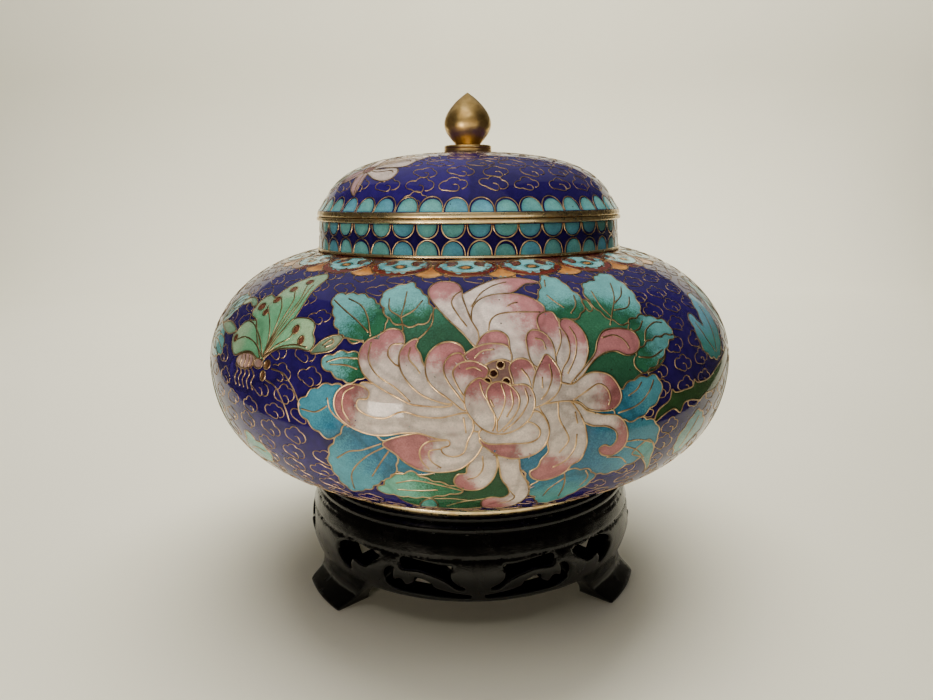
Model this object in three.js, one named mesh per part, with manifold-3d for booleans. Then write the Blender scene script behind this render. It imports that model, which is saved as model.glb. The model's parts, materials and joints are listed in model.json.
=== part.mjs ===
// Ginger jar of wire-set enamel on copper, with its lid, gilt rims, brass knob and pierced wooden stand.
// Millimetres, +Z up. The origin is on the jar's axis, on the surface that the stand's feet rest on.

import * as THREE from 'three';
import { mergeVertices } from 'three/addons/utils/BufferGeometryUtils.js';
import Module from 'manifold-3d';

const wasm = await Module();
wasm.setup();

// Whole object
const ROUND_SIDES = 52;
const SMALL_ROUND_SIDES = 24;
const JOINT_GAP = 0.3;

// Jar body: a flattened bowl between a narrow foot and a straight neck
const BODY_RADIUS = 90;
const FOOT_RADIUS = 55.5;
const FOOT_HEIGHT = 41.5;
const FOOT_SLOPE_DEG = 28.3;
const WIDEST_HEIGHT = 81.8;
const SHOULDER_RADIUS = 52.4;
const SHOULDER_HEIGHT = 117.7;
const SHOULDER_SLOPE_DEG = 8.5;
const NECK_RADIUS = 51.8;
const MOUTH_HEIGHT = 127.5;
const BODY_WALL = 2.2;
const BODY_FLOOR = 45.2;

// How long each end of the two body curves keeps its direction
const FOOT_PULL = 10.7;
const LOWER_BELLY_PULL = 29.9;
const UPPER_BELLY_PULL = 16;
const SHOULDER_PULL = 23.5;
const BODY_CURVE_STEPS = 6;
const BODY_LINING_STEPS = 4;

// Gilt rims
const FOOT_RIM_HEIGHT = 1.1;
const FOOT_RIM_WIDTH = 2.4;
const FOOT_RIM_RADIUS = 56;
const MOUTH_RIM_RADIUS = 52.7;
const MOUTH_RIM_HEIGHT = 1;
const LID_RIM_RADIUS = 52.4;
const LID_RIM_HEIGHT = 1.9;
const LID_COLLAR_DEPTH = 3.6;
const LID_COLLAR_RADIUS = 49;
const LID_COLLAR_WALL = 1;

// Lid: a low dome, steep at its edge and nearly flat on top
const LID_WALL = 2;
const LID_RADIUS = 52.1;
const LID_RISE = 18.7;
const LID_EDGE_SLOPE_DEG = 52;
const LID_EDGE_PULL = 9.5;
const LID_TOP_PULL = 46.5;
const LID_CURVE_STEPS = 6;

// Knob: a pointed bud on a round washer
const DISC_RADIUS = 8.2;
const DISC_HEIGHT = 2.1;
const DISC_BEVEL = 0.35;
const KNOB_RADIUS = 8.1;
const KNOB_NECK_RADIUS = 4.7;
const KNOB_BELLY_RISE = 7.5;
const KNOB_TIP_RISE = 17.3;

// Stand: a turned seat with mouldings, a bulging pierced apron and three flared feet
const STAND_TURN_DEG = 2;
const FEET = 3;
const SEAT_RADIUS = 56.9;
const APRON_RADIUS = 59.5;
const APRON_BOTTOM_RADIUS = 58.4;
const APRON_TOP = 26.6;
const APRON_BOTTOM = 12;
const APRON_INNER_RADIUS = 51.5;
const SEAT_UNDERSIDE = 29.5;
const FOOT_TIP_RADIUS = 62;
const FOOT_HEEL_RADIUS = 49;
const FOOT_WAIST_RADIUS = 56;

const rad = THREE.MathUtils.degToRad;

// Heights that follow from the stack of pieces
const footRimTop = FOOT_HEIGHT - JOINT_GAP / 2;
const footRimBottom = footRimTop - FOOT_RIM_HEIGHT;
const seatTop = footRimBottom - JOINT_GAP;
const mouthRimBottom = MOUTH_HEIGHT + JOINT_GAP;
const mouthRimTop = mouthRimBottom + MOUTH_RIM_HEIGHT;
const lidRimBottom = mouthRimTop + JOINT_GAP;
const lidRimTop = lidRimBottom + LID_RIM_HEIGHT;
const lidBottom = lidRimTop + JOINT_GAP;
const lidTop = lidBottom + LID_RISE;
const discBottom = lidTop + JOINT_GAP;
const knobBottom = discBottom + DISC_HEIGHT + JOINT_GAP;

// Turns a closed geometry into one without doubled points, with its faces turned outwards
function closed(geometry) {
  geometry.deleteAttribute('normal');
  geometry.deleteAttribute('uv');
  const merged = mergeVertices(geometry, 1e-3);
  const place = merged.getAttribute('position');
  const faces = [];
  let volume = 0;
  for (let i = 0; i < merged.index.count; i += 3) {
    const [a, b, c] = [0, 1, 2].map((k) => merged.index.getX(i + k));
    if (a === b || b === c || a === c) continue;
    faces.push([a, b, c]);
    const [pa, pb, pc] = [a, b, c].map((v) => new THREE.Vector3().fromBufferAttribute(place, v));
    volume += pa.dot(pb.cross(pc));
  }
  const outward = volume > 0 ? faces : faces.map(([a, b, c]) => [a, c, b]);
  merged.setIndex(outward.flat());
  return merged;
}

// Turns an outline of [radius, height] pairs about the jar's axis
function turned(outline, sides = ROUND_SIDES) {
  const points = outline.map(([r, z]) => new THREE.Vector2(r, z));
  const geometry = new THREE.LatheGeometry(points, sides);
  geometry.rotateX(Math.PI / 2);
  return closed(geometry);
}

// Points on a cubic curve from start to end, pulled towards the two handles
function curvePoints(start, startHandle, endHandle, end, steps) {
  const ends = [start, startHandle, endHandle, end].map(([r, z]) => new THREE.Vector2(r, z));
  return new THREE.CubicBezierCurve(...ends).getPoints(steps).map((p) => [p.x, p.y]);
}

// The same outline moved sideways by a distance, to the left of its direction
function offset(outline, distance) {
  return outline.map(([r, z], i) => {
    const before = outline[Math.max(i - 1, 0)];
    const after = outline[Math.min(i + 1, outline.length - 1)];
    const along = new THREE.Vector2(after[0] - before[0], after[1] - before[1]).normalize();
    return [r - along.y * distance, z + along.x * distance];
  });
}

function ring(outerRadius, width, bottom, height) {
  const inner = outerRadius - width;
  const top = bottom + height;
  return turned([[inner, bottom], [outerRadius, bottom], [outerRadius, top], [inner, top], [inner, bottom]]);
}

// Jar body

// The belly's outside, from the foot up to the shoulder
function bellyOutline(steps) {
  const foot = [FOOT_RADIUS, FOOT_HEIGHT];
  const belly = [BODY_RADIUS, WIDEST_HEIGHT];
  const shoulder = [SHOULDER_RADIUS, SHOULDER_HEIGHT];
  const footSlope = rad(FOOT_SLOPE_DEG);
  const shoulderSlope = rad(SHOULDER_SLOPE_DEG);
  const lower = curvePoints(
    foot,
    [foot[0] + FOOT_PULL * Math.cos(footSlope), foot[1] + FOOT_PULL * Math.sin(footSlope)],
    [belly[0], belly[1] - LOWER_BELLY_PULL],
    belly,
    steps,
  );
  const upper = curvePoints(
    belly,
    [belly[0], belly[1] + UPPER_BELLY_PULL],
    [
      shoulder[0] + SHOULDER_PULL * Math.cos(shoulderSlope),
      shoulder[1] - SHOULDER_PULL * Math.sin(shoulderSlope),
    ],
    shoulder,
    steps,
  );
  return [...lower, ...upper.slice(1)];
}

function jarBody() {
  const outside = bellyOutline(BODY_CURVE_STEPS);
  const lining = offset(bellyOutline(BODY_LINING_STEPS), BODY_WALL);
  const neckInside = NECK_RADIUS - BODY_WALL;
  const recess = FOOT_HEIGHT + 1.4;
  const inside = lining.filter(([r, z]) => z > BODY_FLOOR + 1 && r > neckInside + 1);
  return turned([
    [0, recess],
    [FOOT_RADIUS - 4, recess],
    [FOOT_RADIUS - 2.5, FOOT_HEIGHT + JOINT_GAP / 2],
    [FOOT_RADIUS, FOOT_HEIGHT + JOINT_GAP / 2],
    ...outside.slice(1),
    [NECK_RADIUS, SHOULDER_HEIGHT + 1.2],
    [NECK_RADIUS, MOUTH_HEIGHT - 2],
    [NECK_RADIUS + 0.5, MOUTH_HEIGHT],
    [neckInside, MOUTH_HEIGHT],
    [neckInside, SHOULDER_HEIGHT - BODY_WALL],
    ...inside.reverse(),
    [FOOT_RADIUS - 1.5, BODY_FLOOR],
    [0, BODY_FLOOR],
  ]);
}

const mouthRim = () => {
  const width = MOUTH_RIM_RADIUS - NECK_RADIUS + BODY_WALL;
  return ring(MOUTH_RIM_RADIUS, width, mouthRimBottom, MOUTH_RIM_HEIGHT);
};

const footRim = () => ring(FOOT_RIM_RADIUS, FOOT_RIM_WIDTH, footRimBottom, FOOT_RIM_HEIGHT);

// Lid

function lidDome() {
  const slope = rad(LID_EDGE_SLOPE_DEG);
  const outside = curvePoints(
    [LID_RADIUS, lidBottom],
    [LID_RADIUS - LID_EDGE_PULL * Math.cos(slope), lidBottom + LID_EDGE_PULL * Math.sin(slope)],
    [LID_TOP_PULL, lidTop],
    [0, lidTop],
    LID_CURVE_STEPS,
  );
  const inside = offset(outside, LID_WALL).slice(1, -1);
  return turned([
    ...outside.reverse(),
    [LID_RADIUS - LID_WALL, lidBottom],
    ...inside,
    [0, lidTop - LID_WALL],
  ]);
}

// A flat ring with a short collar that drops into the mouth
function lidRim() {
  const collarInside = LID_COLLAR_RADIUS - LID_COLLAR_WALL;
  const collarBottom = lidRimBottom - LID_COLLAR_DEPTH;
  return turned([
    [collarInside, collarBottom],
    [LID_COLLAR_RADIUS, collarBottom],
    [LID_COLLAR_RADIUS, lidRimBottom],
    [LID_RIM_RADIUS, lidRimBottom],
    [LID_RIM_RADIUS, lidRimTop],
    [collarInside, lidRimTop],
    [collarInside, collarBottom],
  ]);
}

// Knob

function knobDisc() {
  const top = discBottom + DISC_HEIGHT;
  return turned([
    [0, discBottom],
    [DISC_RADIUS - DISC_BEVEL, discBottom],
    [DISC_RADIUS, discBottom + DISC_BEVEL],
    [DISC_RADIUS, top - DISC_BEVEL],
    [DISC_RADIUS - DISC_BEVEL, top],
    [0, top],
  ], SMALL_ROUND_SIDES);
}

function knobBud() {
  const belly = knobBottom + KNOB_BELLY_RISE;
  const tip = knobBottom + KNOB_TIP_RISE;
  const lower = curvePoints(
    [KNOB_NECK_RADIUS, knobBottom],
    [KNOB_NECK_RADIUS, knobBottom + 2.6],
    [KNOB_RADIUS, belly - 3.1],
    [KNOB_RADIUS, belly],
    5,
  );
  const upper = curvePoints([KNOB_RADIUS, belly], [KNOB_RADIUS, belly + 3.8], [3.4, tip - 2.1], [0, tip], 6);
  return turned([[0, knobBottom], ...lower, ...upper.slice(1)], SMALL_ROUND_SIDES);
}

// Stand

function solidOf(geometry) {
  const shape = closed(geometry);
  const vertProperties = new Float32Array(shape.getAttribute('position').array);
  const triVerts = new Uint32Array(shape.index.array);
  return new wasm.Manifold(new wasm.Mesh({ numProp: 3, vertProperties, triVerts }));
}

function geometryOf(solid) {
  const mesh = solid.getMesh();
  const geometry = new THREE.BufferGeometry();
  geometry.setAttribute('position', new THREE.BufferAttribute(new Float32Array(mesh.vertProperties), 3));
  geometry.setIndex(Array.from(mesh.triVerts));
  return geometry;
}

// Azimuth 0 is the front, -Y, and grows towards +X
function atAzimuth(degrees, radius, height) {
  const angle = rad(degrees);
  return [radius * Math.sin(angle), -radius * Math.cos(angle), height];
}

// Seat and apron as one turning, hollow from below
function turnedStand() {
  return turned([
    [0, seatTop],
    [SEAT_RADIUS, seatTop],
    [SEAT_RADIUS - 0.2, seatTop - 1.5],
    [SEAT_RADIUS - 1.5, seatTop - 2.3],
    [SEAT_RADIUS - 1.1, seatTop - 3.2],
    [SEAT_RADIUS + 0.1, seatTop - 4.3],
    [SEAT_RADIUS - 1.1, seatTop - 5.8],
    [SEAT_RADIUS + 0.3, seatTop - 8.2],
    [APRON_RADIUS - 0.9, APRON_TOP],
    [APRON_RADIUS, APRON_TOP - 4],
    [APRON_RADIUS - 0.1, APRON_TOP - 8],
    [APRON_BOTTOM_RADIUS, APRON_BOTTOM],
    [APRON_INNER_RADIUS, APRON_BOTTOM],
    [APRON_INNER_RADIUS, SEAT_UNDERSIDE],
    [0, SEAT_UNDERSIDE],
  ]);
}

// Each level of a foot: height, half its width in degrees, its outer and its inner radius
const FOOT_LEVELS = [
  [0, 11.5, FOOT_TIP_RADIUS, FOOT_HEEL_RADIUS],
  [1.6, 12.5, FOOT_TIP_RADIUS - 1.2, FOOT_HEEL_RADIUS + 0.5],
  [4.5, 15, FOOT_WAIST_RADIUS + 0.6, FOOT_HEEL_RADIUS + 1.5],
  [7.5, 18, FOOT_WAIST_RADIUS, FOOT_HEEL_RADIUS + 2],
  [11, 22, FOOT_WAIST_RADIUS + 1, APRON_INNER_RADIUS],
  [14, 25, APRON_BOTTOM_RADIUS - 0.4, APRON_INNER_RADIUS + 0.4],
];
const FOOT_FACETS = 4;

// A foot is a stack of curved sections, joined level by level
function footSolid(centre) {
  const sectionSize = 2 * (FOOT_FACETS + 1);
  const places = [];
  const faces = [];
  for (const [height, halfWidth, outer, inner] of FOOT_LEVELS) {
    for (let i = 0; i <= FOOT_FACETS; i += 1) {
      const side = (2 * i) / FOOT_FACETS - 1;
      places.push(...atAzimuth(centre + side * halfWidth, outer, height));
    }
    for (let i = FOOT_FACETS; i >= 0; i -= 1) {
      const side = (2 * i) / FOOT_FACETS - 1;
      places.push(...atAzimuth(centre + side * halfWidth, inner, height));
    }
  }
  for (let level = 0; level + 1 < FOOT_LEVELS.length; level += 1) {
    for (let i = 0; i < sectionSize; i += 1) {
      const a = level * sectionSize + i;
      const b = level * sectionSize + ((i + 1) % sectionSize);
      faces.push(a, b, b + sectionSize, a, b + sectionSize, a + sectionSize);
    }
  }
  const top = (FOOT_LEVELS.length - 1) * sectionSize;
  for (let i = 0; i < FOOT_FACETS; i += 1) {
    const [a, b, c, d] = [i, i + 1, sectionSize - 2 - i, sectionSize - 1 - i];
    faces.push(a, c, b, a, d, c);
    faces.push(top + a, top + b, top + c, top + a, top + c, top + d);
  }
  const geometry = new THREE.BufferGeometry();
  geometry.setAttribute('position', new THREE.Float32BufferAttribute(places, 3));
  geometry.setAttribute('uv', new THREE.Float32BufferAttribute(new Float32Array(places.length / 3 * 2), 2));
  geometry.setIndex(faces);
  return solidOf(geometry);
}

// Pierced openings of one half of a panel: degrees from the panel's middle, and height
const UPPER_OPENING = [
  [23.6, 25.6], [15, 25.6], [7.8, 24.2], [7.4, 20.6], [5.4, 17.6],
  [8.5, 18.3], [10.5, 20.3], [15, 21.9], [23.4, 23.2],
];
const LOWER_OPENING = [
  [26.5, 22], [29.8, 20], [30, 17], [27, 14.6], [20, 13.9], [2.6, 13.9], [2.6, 15.2],
  [12.5, 17], [15.5, 19.6], [19, 20], [20.4, 17.2], [22.8, 17.2], [24.2, 18.6], [26.4, 18.3],
];
const FOOT_OPENING = [
  [31, 25.4], [44, 25.6], [49, 23], [50.6, 19], [50.2, 15.4], [47, 16.8],
  [44.4, 20.2], [40, 18.4], [32, 22], [30.6, 23.6],
];
const CUTTER_NEAR = APRON_INNER_RADIUS - 3;
const CUTTER_DEPTH = FOOT_TIP_RADIUS - CUTTER_NEAR;

// A straight cutter through the apron, mirrored for the other half of the panel
function cutter(outline, panelCentre, mirror) {
  const angles = outline.map(([degrees]) => degrees);
  const middle = (Math.min(...angles) + Math.max(...angles)) / 2;
  const flat = outline.map(([degrees, height]) => {
    const across = APRON_RADIUS * Math.sin(rad(degrees - middle));
    return new THREE.Vector2(mirror * across, height);
  });
  const geometry = new THREE.ExtrudeGeometry(new THREE.Shape(flat), {
    depth: CUTTER_DEPTH,
    bevelEnabled: false,
    steps: 1,
  });
  geometry.rotateX(Math.PI / 2);
  geometry.translate(0, -CUTTER_NEAR, 0);
  geometry.rotateZ(rad(panelCentre + mirror * middle));
  return solidOf(geometry);
}

function carvedStand() {
  let stand = solidOf(turnedStand());
  for (let i = 0; i < FEET; i += 1) {
    const panelCentre = STAND_TURN_DEG + (360 / FEET) * i;
    const footCentre = panelCentre + 180 / FEET;
    stand = stand.add(footSolid(footCentre));
    for (const mirror of [1, -1]) {
      for (const outline of [UPPER_OPENING, LOWER_OPENING, FOOT_OPENING]) {
        stand = stand.subtract(cutter(outline, panelCentre, mirror));
      }
    }
  }
  return geometryOf(stand);
}

// Finishes

const cobaltEnamel = new THREE.MeshStandardMaterial({ color: '#2b2a7e', roughness: 0.12, metalness: 0 });
const giltBrass = new THREE.MeshStandardMaterial({ color: '#c79a55', roughness: 0.3, metalness: 1 });
const turnedBrass = new THREE.MeshStandardMaterial({ color: '#b98f3f', roughness: 0.35, metalness: 1 });
const blackLacquer = new THREE.MeshStandardMaterial({ color: '#15100f', roughness: 0.25, metalness: 0 });

const gingerJar = new THREE.Group();

function place(name, geometry, material) {
  const mesh = new THREE.Mesh(geometry, material);
  mesh.name = name;
  gingerJar.add(mesh);
}

place('stand', carvedStand(), blackLacquer);
place('foot_rim', footRim(), giltBrass);
place('jar_body', jarBody(), cobaltEnamel);
place('mouth_rim', mouthRim(), giltBrass);
place('lid_rim', lidRim(), giltBrass);
place('lid', lidDome(), cobaltEnamel);
place('knob_disc', knobDisc(), turnedBrass);
place('knob', knobBud(), turnedBrass);

export default gingerJar;
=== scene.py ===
# %% [markdown]
# # A cloisonné ginger jar on a carved stand
# The real jar is a spun copper bowl. Flat wire is bent on edge into the outlines of clouds, petals and
# leaves, the cells between the wires are filled with coloured glass powder, and the whole is fired, filled
# again and polished level. This lesson draws the wires flat, as the wire worker does, fills the cells, and
# then wraps the drawing round the turned surface.

# %% Load the frame
import json
import math

import bmesh
import bpy
import numpy as np
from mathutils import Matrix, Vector, geometry, kdtree

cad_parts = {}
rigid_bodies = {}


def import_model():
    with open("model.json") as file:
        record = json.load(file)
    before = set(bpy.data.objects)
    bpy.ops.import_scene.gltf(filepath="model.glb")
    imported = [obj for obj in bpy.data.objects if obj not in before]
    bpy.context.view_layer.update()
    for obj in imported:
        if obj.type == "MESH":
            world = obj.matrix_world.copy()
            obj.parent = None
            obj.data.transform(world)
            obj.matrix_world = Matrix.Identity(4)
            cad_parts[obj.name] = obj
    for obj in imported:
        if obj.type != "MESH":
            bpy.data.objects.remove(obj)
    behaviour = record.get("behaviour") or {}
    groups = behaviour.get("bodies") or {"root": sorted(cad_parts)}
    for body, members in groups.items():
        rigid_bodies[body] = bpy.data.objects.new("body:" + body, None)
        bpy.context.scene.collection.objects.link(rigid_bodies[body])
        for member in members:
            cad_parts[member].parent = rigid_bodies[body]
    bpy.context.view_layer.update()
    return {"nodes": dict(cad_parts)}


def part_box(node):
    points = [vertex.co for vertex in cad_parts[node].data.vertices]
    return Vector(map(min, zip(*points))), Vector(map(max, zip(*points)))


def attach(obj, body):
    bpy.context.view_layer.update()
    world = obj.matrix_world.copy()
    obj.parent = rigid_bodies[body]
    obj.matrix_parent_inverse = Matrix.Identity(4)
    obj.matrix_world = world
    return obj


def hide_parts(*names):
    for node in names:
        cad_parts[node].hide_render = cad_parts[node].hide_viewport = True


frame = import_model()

print("solids:", sorted(frame["nodes"]))

# %% [markdown]
# ## Units, colours and one node helper
# Everything is worked out in millimetres and turned to metres when a mesh is made. Colours are the sRGB hex
# values that an eye-dropper gives, and Blender's sockets want linear ones, so one function turns them.

# %% Helpers
MM = 0.001


def rgb(code):
    """An sRGB hex colour as linear red, green, blue and alpha."""
    parts = [int(code[i:i + 2], 16) / 255 for i in (1, 3, 5)]
    return tuple(p / 12.92 if p <= 0.04045 else ((p + 0.055) / 1.055) ** 2.4 for p in parts) + (1.0,)


def add(tree, kind, options=None, sockets=None):
    """One node: options are its own settings, sockets take a value or another node's output."""
    node = tree.nodes.new("ShaderNode" + kind)
    for name, value in (options or {}).items():
        setattr(node, name, value)
    for key, value in (sockets or {}).items():
        if isinstance(value, bpy.types.NodeSocket):
            tree.links.new(value, node.inputs[key])
        else:
            node.inputs[key].default_value = value
    return node


def new_material(name):
    """An empty node material with its output, ready for a shader."""
    material = bpy.data.materials.new(name)
    material.use_nodes = True
    tree = material.node_tree
    tree.nodes.clear()
    return material, tree, tree.nodes.new("ShaderNodeOutputMaterial")


def piece(name, verts, faces, material, replaced=()):
    """A mesh object in metres from points in millimetres, riding on the jar."""
    mesh = bpy.data.meshes.new(name)
    mesh.from_pydata((np.asarray(verts) * MM).tolist(), [], faces)
    mesh.validate()
    mesh.shade_smooth()
    thing = bpy.data.objects.new(name, mesh)
    bpy.context.scene.collection.objects.link(thing)
    mesh.materials.append(material)
    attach(thing, "root")
    if replaced:
        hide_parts(*replaced)
    return thing


# %% [markdown]
# ## Curves
# The wire worker bends wire between a few fixed points, so a drawing here is a few points as well, joined by
# a spline, by Bézier curves or by arcs, and then stepped evenly.

# %% Curves
def bezier(p0, p1, p2, p3, steps):
    """Points along a cubic Bézier curve."""
    t = np.linspace(0, 1, steps + 1)[:, None]
    p0, p1, p2, p3 = map(np.asarray, (p0, p1, p2, p3))
    return (1 - t) ** 3 * p0 + 3 * t * (1 - t) ** 2 * p1 + 3 * t * t * (1 - t) * p2 + t ** 3 * p3


def even(points, step, closed=False):
    """The same line stepped evenly."""
    points = np.asarray(points, float)
    if closed:
        points = np.vstack([points, points[:1]])
    run = np.concatenate([[0], np.cumsum(np.linalg.norm(np.diff(points, axis=0), axis=1))])
    count = max(3 if closed else 1, round(run[-1] / step))
    where = np.linspace(0, run[-1], count + 1)[:count if closed else count + 1]
    return np.column_stack([np.interp(where, run, points[:, k]) for k in range(points.shape[1])])


def spline(points, closed=False, parts=8):
    """A smooth line through the points."""
    points = np.asarray(points, float)
    if closed:
        ring = np.vstack([points[-1:], points, points[:2]])
    else:
        ring = np.vstack([2 * points[0] - points[1], points, 2 * points[-1] - points[-2]])
    t = np.linspace(0, 1, parts, endpoint=False)[:, None]
    line = []
    for a, b, c, d in zip(ring, ring[1:], ring[2:], ring[3:]):
        line.append(b + 0.5 * t * (c - a + t * (2 * a - 5 * b + 4 * c - d + t * (3 * (b - c) + d - a))))
    if not closed:
        line.append(points[-1:])
    return np.vstack(line)


def arcs(points, bulges, parts=7):
    """Arcs from point to point, each as high as its bulge times half its chord, on the right hand."""
    line = []
    for a, b, bulge in zip(points, points[1:], bulges):
        a, b = np.array(a, float), np.array(b, float)
        t = np.linspace(0, 1, parts, endpoint=False)[:, None]
        half = (b - a) / 2
        turn = 2 * math.atan(abs(bulge)) or 1e-6
        lift = (np.cos((2 * t - 1) * turn) - math.cos(turn)) / math.sin(turn)
        slide = np.sin((2 * t - 1) * turn) / math.sin(turn)
        out = np.array([half[1], -half[0]]) * np.sign(bulge)
        line.append((a + b) / 2 + slide * half + lift * out)
    line.append(np.array([points[-1]], float))
    return np.vstack(line)


# %% [markdown]
# ## The turned surfaces
# The bowl's side is two Bézier curves, from the foot to the widest ring and on to the neck, and the lid is
# one. A flat drawing belongs to each: for the bowl a strip as long as the widest ring, and for the lid a
# disc, both measured along the surface. A sheet turns a point of the drawing into a point in space.

# %% Sheets
BODY_LOW, BODY_HIGH = [np.array(corner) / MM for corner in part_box("jar_body")]
LID_LOW, LID_HIGH = [np.array(corner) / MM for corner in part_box("lid")]
BODY_RADIUS = BODY_HIGH[0]
FOOT_RADIUS = 55.5
FOOT_HEIGHT = BODY_LOW[2]
WIDEST_HEIGHT = 81.8
SHOULDER_RADIUS = 52.4
SHOULDER_HEIGHT = 117.7
NECK_RADIUS = 51.8
MOUTH_HEIGHT = BODY_HIGH[2]
SKIN = 0.12          # the glass lies this far inside the solid, so that the wires stay inside its box
BODY_WALL = 2.2
BODY_FLOOR = 45.2
FOOT_SLOPE = math.radians(28.3)
SHOULDER_SLOPE = math.radians(8.5)


class Sheet:
    """A flat drawing and the turned surface that it wraps onto."""

    def __init__(self, profile, disc):
        self.disc = disc
        self.r, self.z = profile.T
        self.s = np.concatenate([[0], np.cumsum(np.hypot(np.diff(self.r), np.diff(self.z)))])
        dr, dz = np.gradient(self.r, self.s), np.gradient(self.z, self.s)
        sign = -1 if disc else 1
        self.nr, self.nz = sign * dz, -sign * dr
        self.length = self.s[-1]

    def polar(self, points):
        """The angle round the jar and the distance along the profile."""
        x, y = np.asarray(points, float).T
        if self.disc:
            return np.arctan2(x, -y), np.hypot(x, y)
        return x / BODY_RADIUS, y

    def place(self, points, lift=0.0):
        """Drawing points as points in space, raised from the glass by lift."""
        angle, s = self.polar(points)
        radius = np.interp(s, self.s, self.r) + lift * np.interp(s, self.s, self.nr)
        height = np.interp(s, self.s, self.z) + lift * np.interp(s, self.s, self.nz)
        return np.column_stack([radius * np.sin(angle), -radius * np.cos(angle), height])

    def normal(self, points):
        """The way that the glass faces at points of the drawing."""
        angle, s = self.polar(points)
        nr, nz = np.interp(s, self.s, self.nr), np.interp(s, self.s, self.nz)
        normal = np.column_stack([nr * np.sin(angle), -nr * np.cos(angle), nz])
        return normal / np.linalg.norm(normal, axis=1)[:, None]

    def squeeze(self, points):
        """How much narrower a millimetre across the drawing comes out on the jar."""
        s = self.polar(points)[1]
        return np.interp(s, self.s, self.r) / (np.maximum(s, 1e-3) if self.disc else BODY_RADIUS)

    def at(self, azimuth, s):
        """The drawing point at an angle in degrees and a distance along the profile."""
        if self.disc:
            return np.array([s * math.sin(math.radians(azimuth)), -s * math.cos(math.radians(azimuth))])
        return np.array([math.radians(azimuth) * BODY_RADIUS, s])

    def set_down(self, shape, azimuth, s, turn=0.0):
        """A small shape in true millimetres, right and up, laid into the drawing at its place."""
        x, y = np.asarray(shape, float).T
        cos, sin = math.cos(math.radians(turn)), math.sin(math.radians(turn))
        x, y = cos * x - sin * y, sin * x + cos * y
        k = 1 / self.squeeze([self.at(azimuth, s)])[0]
        if not self.disc:
            return self.at(azimuth, s) + np.column_stack([x * k, y])
        a = math.radians(azimuth)
        return self.at(azimuth, s) + np.column_stack([x * k * math.cos(a) - y * math.sin(a),
                                                      x * k * math.sin(a) + y * math.cos(a)])


# How far each curve's ends pull it along their slopes, in millimetres
FOOT_PULL, BELLY_PULL_DOWN, BELLY_PULL_UP, SHOULDER_PULL = 10.7, 29.9, 16.0, 23.5
PROFILE_STEPS = 160
inner_foot = np.array([FOOT_RADIUS, FOOT_HEIGHT])
lower = bezier(inner_foot, inner_foot + FOOT_PULL * np.array([math.cos(FOOT_SLOPE), math.sin(FOOT_SLOPE)]),
               (BODY_RADIUS, WIDEST_HEIGHT - BELLY_PULL_DOWN), (BODY_RADIUS, WIDEST_HEIGHT), PROFILE_STEPS)
shoulder = np.array([SHOULDER_RADIUS, SHOULDER_HEIGHT])
upper = bezier((BODY_RADIUS, WIDEST_HEIGHT), (BODY_RADIUS, WIDEST_HEIGHT + BELLY_PULL_UP),
               shoulder + SHOULDER_PULL * np.array([math.cos(SHOULDER_SLOPE), -math.sin(SHOULDER_SLOPE)]),
               shoulder, PROFILE_STEPS)
neck = np.linspace((SHOULDER_RADIUS, SHOULDER_HEIGHT), (NECK_RADIUS, MOUTH_HEIGHT), 24)
body_profile = np.vstack([lower, upper[1:], neck[1:]])
EDGE_SLOPE = math.radians(52)
LID_RADIUS = 52.1
LID_EDGE = LID_LOW[2] - 0.45
LID_TOP_PULL, LID_EDGE_PULL = 46.5, 9.5
lid_profile = bezier((0, LID_HIGH[2]), (LID_TOP_PULL, LID_HIGH[2]),
                     (LID_RADIUS - LID_EDGE_PULL * math.cos(EDGE_SLOPE),
                      LID_EDGE + LID_EDGE_PULL * math.sin(EDGE_SLOPE)), (LID_RADIUS, LID_EDGE), 200)
body = Sheet(body_profile, disc=False)
body.r = body.r - SKIN * body.nr
body.z = body.z - SKIN * body.nz
body.z[0], body.z[-1] = FOOT_HEIGHT, MOUTH_HEIGHT
lid = Sheet(lid_profile, disc=True)
NECK_START = body.s[len(lower) + len(upper) - 2]
BOWL_SEAM = -118.0   # degrees, where the strip's two ends meet, away from the large flowers
OVERLAP = 9          # millimetres that a cell all round the bowl reaches past the strip's ends
STRIP_START = math.radians(BOWL_SEAM) * BODY_RADIUS
STRIP_END = STRIP_START + 2 * math.pi * BODY_RADIUS
print("bowl profile %.1f mm, neck from %.1f, lid profile %.1f mm" % (body.length, NECK_START, lid.length))

# %% [markdown]
# ## Plans: cells and wires
# A plan lists the cells in the order in which a painter would lay them, so a later cell covers an earlier
# one. Each cell has two glass colours and a line along which the first fades into the second: enamellers
# wet-pack two powders against each other, which gives the grainy blush on every petal. A wire stops where a
# later cell covers it.

# %% Plans
class Plan:
    """The cells and wires drawn on one sheet."""

    def __init__(self, sheet, seed):
        self.sheet = sheet
        self.cells = []
        self.wires = []
        self.chance = np.random.default_rng(seed)

    def cell(self, outline, near, far=None, start=None, end=None, wired=True, kind="picture"):
        """A filled cell: near is the glass at start, far the glass at end."""
        outline = np.asarray(outline, float)
        start = outline[0] if start is None else np.asarray(start, float)
        end = start + (1.0, 0.0) if end is None else np.asarray(end, float)
        tint = self.chance.uniform(0.93, 1.07)
        near, far = [np.array(rgb(code)) * tint for code in (near, far or near)]
        self.cells.append((outline, near, far, start, end))
        if wired:
            self.wires.append((outline, True, len(self.cells), kind))

    def wire(self, points, kind="picture"):
        """A loose wire, open at both ends."""
        self.wires.append((np.asarray(points, float), False, len(self.cells), kind))


def covers(outline, points):
    """Which of the points lie inside a closed outline."""
    x, y = points.T
    found = np.zeros(len(points), bool)
    for (x0, y0), (x1, y1) in zip(outline, np.roll(outline, -1, axis=0)):
        if y0 != y1:
            found ^= ((y0 > y) != (y1 > y)) & (x < (x1 - x0) * (y - y0) / (y1 - y0) + x0)
    return found


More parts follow.
